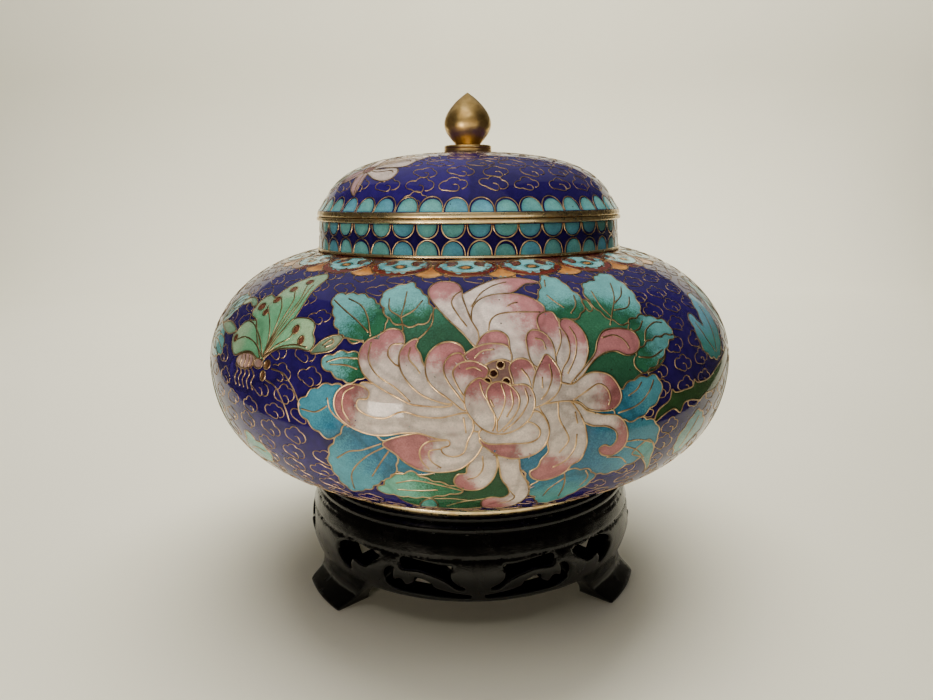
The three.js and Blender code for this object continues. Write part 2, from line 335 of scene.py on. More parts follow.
def owners(plan, points, levels):
    """The last cell over each point, counting only cells laid at or after the point's level, or -1."""
    owner = np.full(len(points), -1)
    for number, cell in enumerate(plan.cells):
        low, high = cell[0].min(0), cell[0].max(0)
        near = np.all((points > low) & (points < high), axis=1) & (levels <= number)
        spots = np.flatnonzero(near)
        if len(spots):
            owner[spots[covers(cell[0], points[spots])]] = number
    return owner


# %% [markdown]
# ## From a plan to glass
# The cells' outlines go into a constrained Delaunay triangulation with a scatter of points between them, so
# no triangle crosses a wire. Each triangle takes the colours of the cell over its middle. Every corner
# carries the two colours, how far the fade has gone, and how near a wire is, for the material to read.

# %% Glass
GROUND_STEP = 2.6
CELL_STEP = 1.3
RING_STEPS = 240
OFF_WIRE = 0.55      # millimetres from a wire to the nearest scattered point


def scatter(low, high, step, chance):
    """A slightly uneven triangular grid of points between two corners."""
    rows = np.arange(low[1], high[1], step * 0.87)
    cols = np.arange(low[0], high[0], step)
    x, y = np.meshgrid(cols, rows)
    x = x + (np.arange(len(rows))[:, None] % 2) * step / 2
    spots = np.column_stack([x.ravel(), y.ravel()])
    return spots + chance.uniform(-0.18, 0.18, spots.shape) * step


def tree_of(points):
    """A search tree that finds the nearest of the points in the drawing."""
    tree = kdtree.KDTree(len(points))
    for number, point in enumerate(points):
        tree.insert((point[0], point[1], 0), number)
    tree.balance()
    return tree


def glass(plan, border, allowed):
    """Triangles over the whole plan: points, faces and the values at every corner."""
    rings = [border] + [cell[0] for cell in plan.cells[1:]]
    outline = np.vstack(rings)
    edges, first = [], 0
    for ring in rings:
        edges += [(first + k, first + (k + 1) % len(ring)) for k in range(len(ring))]
        first += len(ring)
    low, high = border.min(0), border.max(0)
    spots = scatter(low, high, CELL_STEP, plan.chance)
    spots = spots[allowed(spots)]
    owner = owners(plan, spots, np.ones(len(spots)))
    coarse = scatter(low, high, GROUND_STEP, plan.chance)
    coarse = coarse[allowed(coarse)]
    ground = owners(plan, coarse, np.ones(len(coarse))) < 0
    spots = np.vstack([spots[owner >= 0], coarse[ground]])
    wires = tree_of(outline)
    gap = np.array([wires.find((x, y, 0))[2] for x, y in spots])
    spots = spots[gap > OFF_WIRE]
    points = [Vector(p) for p in np.vstack([outline, spots])]
    made = geometry.delaunay_2d_cdt(points, edges, [], 0, 1e-5)
    points = np.array([(p.x, p.y) for p in made[0]])
    faces = np.array(made[2])
    middle = points[faces].mean(1)
    faces = faces[allowed(middle, 0.0)]
    middle = points[faces].mean(1)
    owner = np.maximum(owners(plan, middle, np.zeros(len(middle))), 0)
    gap = np.array([wires.find((x, y, 0))[2] for x, y in points])
    return points, faces, owner, gap


def paint(mesh, plan, points, faces, owner, gap, lining):
    """The corner values that the enamel material reads, with one glass for the lining."""
    near = np.array([cell[1] for cell in plan.cells])[owner]
    far = np.array([cell[2] for cell in plan.cells])[owner]
    start = np.array([cell[3] for cell in plan.cells])[owner]
    along = np.array([cell[4] for cell in plan.cells])[owner] - start
    offset = points[faces] - start[:, None]
    fade = (offset * along[:, None]).sum(2) / (along ** 2).sum(1)[:, None]
    count = len(mesh.loops)
    for name, values in (("near_glass", near), ("far_glass", far)):
        layer = mesh.color_attributes.new(name, "FLOAT_COLOR", "CORNER")
        full = np.tile(rgb(lining), (count, 1))
        full[:3 * len(faces)] = np.repeat(values, 3, axis=0)
        layer.data.foreach_set("color", full.ravel())
    for name, values in (("fade", np.clip(fade, 0, 1)), ("from_wire", np.minimum(gap[faces], 2.0))):
        layer = mesh.attributes.new(name, "FLOAT", "CORNER")
        full = np.ones(count)
        full[:3 * len(faces)] = values.ravel()
        layer.data.foreach_set("value", full)


# %% [markdown]
# ## From a plan to wires
# A wire is a real strip of metal, so it is swept as a thin closed bar along its line, sunk in the glass and
# polished a hair proud of it.

# %% Wires
WIRE_PROUD = 0.07
WIRE_DEPTH = 0.25
WIRE_TOP = 0.62      # the width of a wire's top as a share of the width of its foot


def seen_runs(plan, kinds, step):
    """The stretches of each wire that no later cell covers."""
    runs = []
    for line, closed, level, kind in plan.wires:
        if kind in kinds:
            runs.append((even(line, step, closed), closed, level))
    points = np.vstack([run[0] for run in runs])
    levels = np.concatenate([np.full(len(run[0]), run[2]) for run in runs])
    hidden = owners(plan, points, levels) >= 0
    seen, first = [], 0
    for line, closed, level in runs:
        cover = hidden[first:first + len(line)]
        first += len(line)
        if not cover.any():
            seen.append((line, closed))
            continue
        if cover.all():
            continue
        if closed:
            shift = int(np.argmax(cover))
            line, cover = np.roll(line, -shift, axis=0), np.roll(cover, -shift)
            line, cover = np.vstack([line, line[:1]]), np.append(cover, True)
        begin = None
        for k in range(len(line)):
            if not cover[k] and begin is None:
                begin = k
            if begin is not None and (cover[k] or k == len(line) - 1):
                stop = k if cover[k] else k + 1
                part = line[begin:stop]
                if begin > 0:
                    part = np.vstack([(line[begin - 1] + part[0]) / 2, part])
                if cover[k]:
                    part = np.vstack([part, (line[k] + part[-1]) / 2])
                if len(part) > 2:
                    seen.append((part, False))
                begin = None
    return seen


def sweep(sheet, runs, width, chance):
    """Closed bars of wire along the runs, as points and faces."""
    verts, faces, first = [], [], 0
    for line, closed in runs:
        count = len(line)
        base, up = sheet.place(line), sheet.normal(line)
        ahead = np.roll(base, -1, axis=0) - np.roll(base, 1, axis=0)
        if not closed:
            ahead[0], ahead[-1] = base[1] - base[0], base[-1] - base[-2]
        side = np.cross(ahead, up)
        side /= np.linalg.norm(side, axis=1)[:, None]
        wave = chance.uniform(0, 6.28)
        half = width / 2 * (1 + 0.12 * np.sin(np.arange(count) * 0.7 + wave))[:, None]
        edge, sunk, proud = side * half, up * WIRE_DEPTH, up * WIRE_PROUD
        ring = np.stack([base - edge - sunk, base - edge * WIRE_TOP + proud,
                         base + edge * WIRE_TOP + proud, base + edge - sunk], 1)
        verts.append(ring.reshape(-1, 3))
        for k in range(count if closed else count - 1):
            a, b = first + 4 * k, first + 4 * ((k + 1) % count)
            faces += [(a + i, b + i, b + (i + 1) % 4, a + (i + 1) % 4) for i in range(4)]
        if not closed:
            end = first + 4 * (count - 1)
            faces += [(first + 3, first + 2, first + 1, first)[::-1], (end + 3, end + 2, end + 1, end)]
        first += 4 * count
    return np.vstack(verts), faces


# %% [markdown]
# ## Enamel
# Fired glass enamel: clear, hard and polished with stone and charcoal until it shines like still water, with
# an index near 1.5. Up close it has grain from the powder, a soft bleed between two colours, a darker line
# along every wire, and pinholes where gas left the melt.

# %% Enamel material
GRAIN = 0.45         # millimetres, the powder's grain as it shows
BLEED = 2.4          # millimetres, how far two colours run into each other
CLOUDING = 9.0       # millimetres, slow changes of depth in the glass
PINHOLE_PITCH = 2.6  # millimetres between places where a pinhole may be


def enamel_material():
    """Fired glass enamel, stoned and polished: high gloss over grainy colour."""
    material, tree, output = new_material("fired_glass_enamel_polished")
    place = add(tree, "TexCoord").outputs["Object"]
    near = add(tree, "Attribute", {"attribute_name": "near_glass"}).outputs["Color"]
    far = add(tree, "Attribute", {"attribute_name": "far_glass"}).outputs["Color"]
    fade = add(tree, "Attribute", {"attribute_name": "fade"}).outputs["Fac"]
    from_wire = add(tree, "Attribute", {"attribute_name": "from_wire"}).outputs["Fac"]
    grain = add(tree, "TexNoise", None, {"Vector": place, "Scale": 1 / (GRAIN * MM), "Detail": 2.0})
    bleed = add(tree, "TexNoise", None, {"Vector": place, "Scale": 1 / (BLEED * MM), "Detail": 3.0})
    clouds = add(tree, "TexNoise", None, {"Vector": place, "Scale": 1 / (CLOUDING * MM), "Detail": 3.0})
    ragged = add(tree, "Math", {"operation": "MULTIPLY_ADD"}, {0: grain.outputs["Fac"], 1: 0.8, 2: fade})
    ragged = add(tree, "Math", {"operation": "MULTIPLY_ADD"},
                 {0: bleed.outputs["Fac"], 1: 0.7, 2: ragged.outputs[0]})
    mixed = add(tree, "MapRange", {"interpolation_type": "SMOOTHSTEP"},
                {"Value": ragged.outputs[0], "From Min": 0.74, "From Max": 1.45})
    colour = add(tree, "Mix", {"data_type": "RGBA"}, {"Factor": mixed.outputs[0], 6: near, 7: far})
    shade = add(tree, "MapRange", None, {"Value": clouds.outputs["Fac"], "From Min": 0.3, "From Max": 0.7,
                                         "To Min": 0.84, "To Max": 1.15})
    speck = add(tree, "MapRange", None, {"Value": grain.outputs["Fac"], "From Min": 0.3, "From Max": 0.7,
                                         "To Min": 0.82, "To Max": 1.14})
    # The glass is darker within about a millimetre of every wire.
    darker_by_wire = add(tree, "MapRange", {"interpolation_type": "SMOOTHSTEP"},
                {"Value": from_wire, "From Min": 0.1, "From Max": 1.1, "To Min": 0.72, "To Max": 1.0})
    depth = add(tree, "Math", {"operation": "MULTIPLY"}, {0: shade.outputs[0], 1: speck.outputs[0]})
    mottle = add(tree, "MapRange", None, {"Value": bleed.outputs["Fac"], "From Min": 0.3, "From Max": 0.7,
                                          "To Min": 1.12, "To Max": 0.88})
    depth = add(tree, "Math", {"operation": "MULTIPLY"}, {0: depth.outputs[0], 1: mottle.outputs[0]})
    depth = add(tree, "Math", {"operation": "MULTIPLY"}, {0: depth.outputs[0], 1: darker_by_wire.outputs[0]})
    deep = add(tree, "VectorMath", {"operation": "SCALE"},
               {0: colour.outputs[2], "Scale": depth.outputs[0]})
    holes = add(tree, "TexVoronoi", None, {"Vector": place, "Scale": 1 / (PINHOLE_PITCH * MM)})
    rare = add(tree, "SeparateColor", None, {"Color": holes.outputs["Color"]})
    few = add(tree, "Math", {"operation": "GREATER_THAN"}, {0: rare.outputs[0], 1: 0.88})
    spot = add(tree, "MapRange", None, {"Value": holes.outputs["Distance"], "From Min": 0.05,
                                        "From Max": 0.11, "To Min": 1.0, "To Max": 0.0})
    pin = add(tree, "Math", {"operation": "MULTIPLY"}, {0: few.outputs[0], 1: spot.outputs[0]})
    pitted = add(tree, "Mix", {"data_type": "RGBA"},
                 {"Factor": pin.outputs[0], 6: deep.outputs[0], 7: rgb("#2a2524")})
    wavy = add(tree, "Bump", None, {"Height": clouds.outputs["Fac"], "Strength": 0.25, "Distance": 0.05 * MM})
    sunk = add(tree, "Bump", {"invert": True}, {"Height": pin.outputs[0], "Strength": 0.6,
                                                "Distance": 0.12 * MM, "Normal": wavy.outputs[0]})
    shader = add(tree, "BsdfPrincipled", None,
                 {"Base Color": pitted.outputs[2], "Roughness": 0.06, "IOR": 1.5, "Specular IOR Level": 0.27,
                  "Normal": sunk.outputs[0]})
    tree.links.new(shader.outputs[0], output.inputs["Surface"])
    return material


enamel = enamel_material()
print("enamel:", len(enamel.node_tree.nodes), "nodes")

# %% [markdown]
# ## Gilt copper and turned brass
# The wires and rims are copper, gilt after the last polish: warm, soft in gloss, browner where the gilding
# has rubbed. The knob and the rims are turned on a lathe, and the tool leaves rings about a fifth of a
# millimetre apart. A metal keeps its default index, and its colour is its reflection.

# %% Metal materials
TOOL_PITCH = 0.22    # millimetres between the tool's rings, the second octave of the noise
RUBBED_PATCH = 3.0   # millimetres, the size of the patches where the gilding is rubbed


def metal_material(name, bright, dull, roughness, ringed):
    """A gilt or brass surface with rubbed patches, and tool rings where it was turned."""
    material, tree, output = new_material(name)
    place = add(tree, "TexCoord").outputs["Object"]
    rub = add(tree, "TexNoise", None, {"Vector": place, "Scale": 1 / (RUBBED_PATCH * MM), "Detail": 4.0})
    mask = add(tree, "MapRange", None, {"Value": rub.outputs["Fac"], "From Min": 0.35, "From Max": 0.7})
    colour = add(tree, "Mix", {"data_type": "RGBA"},
                 {"Factor": mask.outputs[0], 6: rgb(bright), 7: rgb(dull)})
    gloss = add(tree, "MapRange", None, {"Value": rub.outputs["Fac"], "From Min": 0.3, "From Max": 0.7,
                                         "To Min": roughness * 0.8, "To Max": roughness * 1.3})
    shader = add(tree, "BsdfPrincipled", None, {"Base Color": colour.outputs[2], "Metallic": 1.0,
                                                "Roughness": gloss.outputs[0]})
    if ringed:
        axes = add(tree, "SeparateXYZ", None, {"Vector": place})
        line = add(tree, "CombineXYZ", None, {"Z": axes.outputs["Z"]})
        rings = add(tree, "TexNoise", None, {"Vector": line.outputs[0], "Scale": 1 / (TOOL_PITCH * 2 * MM),
                                             "Detail": 2.0})
        bump = add(tree, "Bump", None, {"Height": rings.outputs["Fac"], "Strength": 0.9,
                                        "Distance": 0.03 * MM})
        tree.links.new(bump.outputs[0], shader.inputs["Normal"])
    tree.links.new(shader.outputs[0], output.inputs["Surface"])
    return material


gilt_wire = metal_material("gilt_copper_wire_polished", "#cfae80", "#7f6241", 0.32, ringed=False)
gilt_rim = metal_material("gilt_copper_rim_turned", "#f3dca8", "#d6b682", 0.28, ringed=True)
turned_brass = metal_material("brass_lathe_turned", "#e6c27c", "#c29c5c", 0.36, ringed=True)

# %% [markdown]
# ## Black lacquered wood
# The stand is a close hardwood, carved, stained and brushed with black lacquer. Lacquer is glossy and
# pools in the grooves, the pores of the wood stay as short dents along the grain, and the corners are
# rubbed to a dull brown black.

# %% Lacquer material
PORE_WIDTH = 0.35    # millimetres, several times the real pores, which are too fine to show
BRUSH_MARK = 5       # millimetres, the slow waves that the brush leaves


def lacquer_material():
    """Hardwood under brushed black lacquer."""
    material, tree, output = new_material("hardwood_black_lacquered")
    place = add(tree, "TexCoord").outputs["Object"]
    stretch = add(tree, "Mapping", None, {"Vector": place, "Scale": (0.25, 0.25, 1.0)})
    pores = add(tree, "TexNoise", None, {"Vector": stretch.outputs[0], "Scale": 1 / (PORE_WIDTH * MM),
                                         "Detail": 3.0})
    brush = add(tree, "TexNoise", None, {"Vector": place, "Scale": 1 / (BRUSH_MARK * MM), "Detail": 4.0})
    worn = add(tree, "MapRange", None, {"Value": brush.outputs["Fac"], "From Min": 0.5, "From Max": 0.75})
    colour = add(tree, "Mix", {"data_type": "RGBA"},
                 {"Factor": worn.outputs[0], 6: rgb("#040303"), 7: rgb("#0c0a09")})
    gloss = add(tree, "MapRange", None, {"Value": brush.outputs["Fac"], "From Min": 0.3, "From Max": 0.7,
                                         "To Min": 0.12, "To Max": 0.3})
    wave = add(tree, "Bump", None, {"Height": brush.outputs["Fac"], "Strength": 0.5, "Distance": 0.25 * MM})
    dent = add(tree, "Bump", None, {"Height": pores.outputs["Fac"], "Strength": 0.5, "Distance": 0.08 * MM,
                                    "Normal": wave.outputs[0]})
    shader = add(tree, "BsdfPrincipled", None,
                 {"Base Color": colour.outputs[2], "Roughness": gloss.outputs[0], "IOR": 1.48,
                  "Specular IOR Level": 0.32, "Normal": dent.outputs[0]})
    tree.links.new(shader.outputs[0], output.inputs["Surface"])
    return material


lacquer = lacquer_material()
print("metals and lacquer made")

# %% [markdown]
# ## Turned pieces
# A lathe can only cut what is round, so a profile and an angle give the whole piece. Rings are closed
# profiles, and solid pieces start and end on the axis.

# %% The lathe
def turned(name, profile, sides, material, replaced):
    """A profile turned round the axis: closed on itself, or from axis to axis."""
    solid = profile[0][0] == 0 and profile[-1][0] == 0
    verts, rows = [], []
    for radius, height in profile:
        if radius == 0:
            rows.append([len(verts)] * sides)
            verts.append((0, 0, height))
            continue
        rows.append(list(range(len(verts), len(verts) + sides)))
        for k in range(sides):
            angle = 2 * math.pi * k / sides
            verts.append((radius * math.cos(angle), radius * math.sin(angle), height))
    faces = []
    pairs = list(zip(rows, rows[1:])) + ([] if solid else [(rows[-1], rows[0])])
    for low, high in pairs:
        for k in range(sides):
            n = (k + 1) % sides
            corners = dict.fromkeys((low[k], low[n], high[n], high[k]))
            faces.append(tuple(corners))
    thing = piece(name, verts, faces, material, replaced)
    thing.data.set_sharp_from_angle(angle=math.radians(50))
    print(name, len(faces), "faces")


def rounded(corners, radius, parts=4):
    """A closed profile with its corners rounded, each corner as r, z."""
    corners = np.asarray(corners, float)
    line = []
    for before, corner, after in zip(np.roll(corners, 1, 0), corners, np.roll(corners, -1, 0)):
        into, out = before - corner, after - corner
        cut = min(radius, 0.45 * np.linalg.norm(into), 0.45 * np.linalg.norm(out))
        a = corner + into / np.linalg.norm(into) * cut
        b = corner + out / np.linalg.norm(out) * cut
        t = np.linspace(0, 1, parts + 1)[:, None]
        line.append((1 - t) ** 2 * a + 2 * t * (1 - t) * corner + t * t * b)
    return np.vstack(line)


# %% Rims
def node_box(name):
    """The lowest and highest corner of a solid, in millimetres."""
    return [np.array(corner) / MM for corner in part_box(name)]


TOUCH = 0.3          # the gap that the solids keep, closed here so that the pieces meet
RIM_SIDES = 240
foot_low, foot_high = node_box("foot_rim")
turned("foot_ring_gilt",
       rounded([(foot_high[0] - 2.4, foot_low[2] - TOUCH), (foot_high[0] - 0.5, foot_low[2] - TOUCH),
                (foot_high[0] - 0.4, foot_high[2]), (foot_high[0] - 0.8, foot_high[2] + 1.1 * TOUCH),
                (foot_high[0] - 2.4, foot_high[2] + 1.1 * TOUCH)], 0.3),
       RIM_SIDES, gilt_rim, ("foot_rim",))
mouth_low, mouth_high = node_box("mouth_rim")
turned("mouth_ring_gilt",
       rounded([(49.5, mouth_low[2] - TOUCH), (mouth_high[0] - 0.9, mouth_low[2] - TOUCH),
                (mouth_high[0], mouth_low[2] - 0.1), (mouth_high[0], mouth_high[2]),
                (49.5, mouth_high[2])], 0.35),
       RIM_SIDES, gilt_rim, ("mouth_rim",))
rim_low, rim_high = node_box("lid_rim")
RIM_UNDERSIDE = rim_high[2] - 1.9
turned("lid_ring_gilt",
       rounded([(48.0, rim_low[2]), (49.0, rim_low[2]), (49.0, RIM_UNDERSIDE),
                (rim_high[0] - 0.15, RIM_UNDERSIDE), (rim_high[0], RIM_UNDERSIDE + 0.6),
                (rim_high[0] - 0.25, LID_EDGE), (48.0, LID_EDGE)], 0.35),
       RIM_SIDES, gilt_rim, ("lid_rim",))

# %% Knob
disc_low, disc_high = node_box("knob_disc")
knob_low, knob_high = node_box("knob")
DISC_RADIUS = 8.2
KNOB_RADIUS = 8.1
KNOB_NECK = 4.2
disc_bottom = disc_low[2] - TOUCH
washer = [(0, disc_bottom), (DISC_RADIUS - 0.1, disc_bottom), (DISC_RADIUS, disc_bottom + 0.25),
          (DISC_RADIUS, disc_bottom + 1.1), (DISC_RADIUS - 0.25, disc_bottom + 1.3),
          (DISC_RADIUS - 0.05, disc_bottom + 1.5), (DISC_RADIUS - 0.05, disc_high[2] - 0.35),
          (DISC_RADIUS - 0.4, disc_high[2]), (0, disc_high[2])]
turned("knob_washer_brass", washer, 96, turned_brass, ("knob_disc",))
belly, tip = knob_low[2] + 6.8, knob_high[2]
bud = np.vstack([
    [(0, knob_low[2] - TOUCH), (KNOB_NECK, knob_low[2] - TOUCH)],
    bezier((KNOB_NECK, knob_low[2]), (KNOB_NECK + 1.5, knob_low[2] + 1.9), (KNOB_RADIUS, belly - 2.8),
           (KNOB_RADIUS, belly), 20),
    bezier((KNOB_RADIUS, belly), (KNOB_RADIUS, belly + 4.0), (3.4, tip - 2.1), (0, tip), 24)[1:],
])
turned("knob_bud_brass", bud.tolist(), 96, turned_brass, ("knob",))

# %% Ring at the foot of the neck
NECK_RING, NECK_RING_HEIGHT, BEAD_RADIUS = 52.4, 118.15, 0.5
bead = [(NECK_RING + BEAD_RADIUS * math.cos(a), NECK_RING_HEIGHT + BEAD_RADIUS * math.sin(a))
        for a in np.linspace(0, 2 * math.pi, 11)[:-1]]
turned("neck_ring_wire", bead, RIM_SIDES, gilt_rim, ())

# %% [markdown]
# ## The carved stand
# The stand is one block of wood: a seat turned with beads, and below it a pierced apron that runs down into
# three feet. Its wall is drawn flat, an angle across and a height up, since at 57 mm from the axis a degree
# is a millimetre. The openings and feet are outlines in that drawing, and it is wrapped twice, outside and
# inside. The outer skin falls away near every edge, which gives the carver's rounded corners.

# %% Stand drawing
STAND_TURN = 2.0     # degrees that the stand is turned from the jar's front
PANEL_CENTRES = [STAND_TURN - 120, STAND_TURN, STAND_TURN + 120]
FOOT_CENTRES = [STAND_TURN - 180, STAND_TURN - 60, STAND_TURN + 60]
SEAM = STAND_TURN + 120
SEAT_TOP = node_box("stand")[1][2]
SEAT_UNDERSIDE = 29.5
APRON_BOTTOM = 12.0
APRON_INNER = 51.5
CORNER_ROUND = 1.0
OFF_EDGE = 0.16      # millimetres from a carved edge to the nearest scattered point
UPPER_OPENING = [(23.6, 26.0), (18.2, 25.6), (11.3, 24.8), (7.8, 24.6), (8.4, 22.6), (8.2, 20.6), (6.6, 18.9),
                 (3.9, 17.3), (6.4, 17.6), (10.0, 20.6), (13.7, 22.2), (18.1, 23.2), (23.5, 23.0)]
LOWER_OPENING = [(26.5, 22.3), (28.5, 21.8), (29.8, 19.5), (29.3, 16.8), (26.7, 15.0), (23.3, 14.5),
                 (13.3, 14.2), (3.8, 13.9), (2.4, 14.6), (8.1, 15.6), (13.1, 17.1), (14.8, 19.1),
                 (18.9, 20.2), (19.7, 18.3), (22.3, 16.9), (24.0, 18.8), (26.4, 18.2), (26.8, 20.3)]
FOOT_OPENING = [(49.8, 22.9), (47.4, 24.9), (43.6, 26.0), (39.2, 26.2), (35.5, 25.7), (32.5, 26.0),
                (31.3, 25.0), (32.0, 23.8), (34.0, 22.2), (36.7, 20.3), (39.0, 20.3), (41.8, 21.2),
                (43.6, 19.2), (44.2, 16.6), (46.6, 17.2), (49.0, 20.0)]
FOOT_EDGE = [(25.0, 12.0), (22.6, 11.2), (18.0, 7.5), (15.0, 4.5), (12.5, 1.6), (11.5, 0.0)]


def stand_profile(heights):
    """The outer radius of the stand's wall before its beads and edges."""
    line = spline([(0, 62), (1.6, 60.8), (4.5, 56.9), (7.5, 56.1), (11, 57), (14, 58.2), (18.6, 59.4),
                   (22.6, 59.5), (26.6, 58.6), (31.75, 57.1), (34.15, 55.8), (37.6, 55.6), (39.95, 56.3)])
    radius = np.interp(heights, line[:, 0], line[:, 1])
    for centre, half, proud in ((35.6, 1.45, 1.4), (38.75, 1.15, 0.8)):
        radius += proud * np.sqrt(np.clip(1 - ((heights - centre) / half) ** 2, 0, 1))
    for centre, deep in ((26.9, 0.45), (31.9, 0.3)):
        radius -= deep * np.exp(-((heights - centre) / 0.3) ** 2)
    return radius


def stand_inner(heights):
    """The radius of the wall's inner face."""
    return np.interp(heights, [0, 1.6, 4.5, 7.5, 11, 14], [49, 49.5, 50.5, 51, 51.4, APRON_INNER])


def stand_borders(top):
    """The closed border of the drawing below a height, and the openings."""
    edge = [(SEAM - 360, top)] + [(SEAM - 360 + a, top) for a in np.arange(1.5, 360, 1.5)] + [(SEAM, top)]
    side = np.arange(top - 1, APRON_BOTTOM, -1.0)
    edge += [(SEAM, height) for height in side]
    bottom = [(SEAM, APRON_BOTTOM)]
    for centre in FOOT_CENTRES[::-1]:
        bottom += [(centre + a, h) for a, h in even(spline(FOOT_EDGE), 0.8)]
        bottom += [(centre - a, h) for a, h in even(spline(FOOT_EDGE), 0.8)[::-1]]
    bottom += [(SEAM - 360, APRON_BOTTOM)]
    bottom = even(bottom, 0.8)
    holes = []
    for centre in PANEL_CENTRES:
        for outline in (UPPER_OPENING, LOWER_OPENING, FOOT_OPENING):
            for hand in (1, -1):
                ring = even(spline([(hand * a, h) for a, h in outline], closed=True), 0.6, closed=True)
                ring[:, 0] += centre
                ring[:, 0] -= 360 * (ring[:, 0].mean() > SEAM)
                holes.append(ring)
    border = np.vstack([edge, bottom, [(SEAM - 360, height) for height in side[::-1]]])
    return border, bottom, holes


def in_stand(points, border, holes):
    """Which points are in the wood: inside the border and outside every opening."""
    wood = covers(border, points)
    for ring in holes:
        wood &= ~covers(ring, points)
    return wood


def wall_skin(top, fine):
    """The flat drawing cut into triangles, with each point's distance from the nearest carved edge."""
    chance = np.random.default_rng(7)
    border, bottom, holes = stand_borders(top)
    carved = [bottom, even(bottom, 0.25)] + holes + [even(ring, 0.25, closed=True) for ring in holes]
    carved = tree_of(np.vstack(carved))
    spots = [scatter(border.min(0), border.max(0), 1.3, chance)]
    if fine:
        across = np.arange(SEAM - 359, SEAM, 1.8)
        for k, height in enumerate(np.arange(26.2, top - 0.1, 0.33)):
            spots.append(np.column_stack([across + 0.9 * (k % 2), np.full(len(across), height)]))
        for ring in [bottom] + holes:
            ahead = np.gradient(ring, axis=0)
            out = np.column_stack([ahead[:, 1], -ahead[:, 0]]) / np.linalg.norm(ahead, axis=1)[:, None]
            for gap in (0.2, 0.5, 0.9):
                spots += [ring + gap * out, ring - gap * out]
    spots = np.vstack(spots)
    spots = spots[in_stand(spots, border, holes)]
    gap = np.array([carved.find((x, y, 0))[2] for x, y in spots])
    spots = spots[gap > OFF_EDGE]
    outline = tree_of(border)
    gap = np.array([outline.find((x, y, 0))[2] for x, y in spots])
    spots = spots[gap > OFF_EDGE]
    edges, first = [], 0
    for ring in [border] + holes:
        edges += [(first + k, first + (k + 1) % len(ring)) for k in range(len(ring))]
        first += len(ring)
    flat = np.vstack([border] + holes + [spots])
    made = geometry.delaunay_2d_cdt([Vector(p) for p in flat], edges, [], 0, 1e-5)
    points = np.array([(p.x, p.y) for p in made[0]])
    faces = np.array(made[2])
    faces = faces[in_stand(points[faces].mean(1), border, holes)]
    gap = np.array([carved.find((x, y, 0))[2] for x, y in points])
    return points, faces, gap, bottom, holes


def wrapped(points, radius):
    """Angle and height points at their radius, in space."""
    angle = np.radians(points[:, 0])
    return np.column_stack([radius * np.sin(angle), -radius * np.cos(angle), points[:, 1]])


def outer_radius(points, gap):
    """The outer skin's radius, falling away round every carved edge."""
    into = CORNER_ROUND - np.minimum(gap, CORNER_ROUND)
    return stand_profile(points[:, 1]) - CORNER_ROUND + np.sqrt(np.maximum(CORNER_ROUND ** 2 - into ** 2, 0))


# %% Stand mesh
def carved_stand():
    """One closed mesh: outer skin, inner skin, the walls between them, the seat and its underside."""
    verts, faces, first = [], [], 0

    def put(points, cells):
        nonlocal first
        verts.append(points)
        faces.extend([tuple(int(first + k) for k in cell) for cell in cells])
        first += len(points)

    points, cells, gap, bottom, holes = wall_skin(SEAT_TOP, fine=True)
    put(wrapped(points, outer_radius(points, gap)), cells)
    points, cells, gap, _, _ = wall_skin(SEAT_UNDERSIDE, fine=False)
    put(wrapped(points, stand_inner(points[:, 1])), cells[:, ::-1])
    for ring, closed in [(bottom, False)] + [(ring, True) for ring in holes]:
        count = len(ring)
        outside = wrapped(ring, outer_radius(ring, np.zeros(count)))
        inside = wrapped(ring, stand_inner(ring[:, 1]))
        walls = [(k, (k + 1) % count, count + (k + 1) % count, count + k)
                 for k in range(count if closed else count - 1)]
        put(np.vstack([outside, inside]), walls)
    angles = np.arange(SEAM - 360, SEAM - 0.1, 1.5)
    for height, outer, up in ((SEAT_TOP, stand_profile(np.array([SEAT_TOP]))[0], True),
                              (SEAT_UNDERSIDE, APRON_INNER, False)):
        rings = [wrapped(np.column_stack([angles, np.full(len(angles), height)]), radius)
                 for radius in (outer, outer * 0.97, outer * 0.7, outer * 0.35)]
        cells, count = [], len(angles)
        for ring in range(3):
            for k in range(count):
                a, b = ring * count + k, ring * count + (k + 1) % count
                cells.append((a, b, b + count, a + count))
        cells += [(3 * count + k, 3 * count + (k + 1) % count, 4 * count) for k in range(count)]
        put(np.vstack(rings + [[(0, 0, height)]]), cells if up else [cell[::-1] for cell in cells])
    thing = piece("carved_stand", np.vstack(verts), faces, lacquer, ("stand",))
    face_outward(thing.data, weld=0.02)
    thing.data.set_sharp_from_angle(angle=math.radians(55))
    print("carved stand", len(thing.data.polygons), "faces, open edges", open_edges(thing.data))


def face_outward(mesh, weld=0.0):
    """Joins points closer than the weld distance, if one is given, and turns the faces outward."""
    work = bmesh.new()
    work.from_mesh(mesh)
    if weld:
        bmesh.ops.remove_doubles(work, verts=work.verts, dist=weld * MM)
    bmesh.ops.recalc_face_normals(work, faces=work.faces)
    work.to_mesh(mesh)
    work.free()


def open_edges(mesh):
    """How many edges don't have exactly two faces."""
    counts = np.zeros(len(mesh.edges), int)
    index = np.zeros(len(mesh.loops), int)
    mesh.loops.foreach_get("edge_index", index)
    np.add.at(counts, index, 1)
    return int((counts != 2).sum())


carved_stand()

# %% [markdown]
# ## Cloud wires
# The blue ground is held by hundreds of small cloud wires, each bent by hand from one strip: a broad lobe on
# each side, a rounder one on top, and an end that curls up inside. They lie in rows, each half a step from
# the last, with a drop-shaped loop where only a small gap is left.

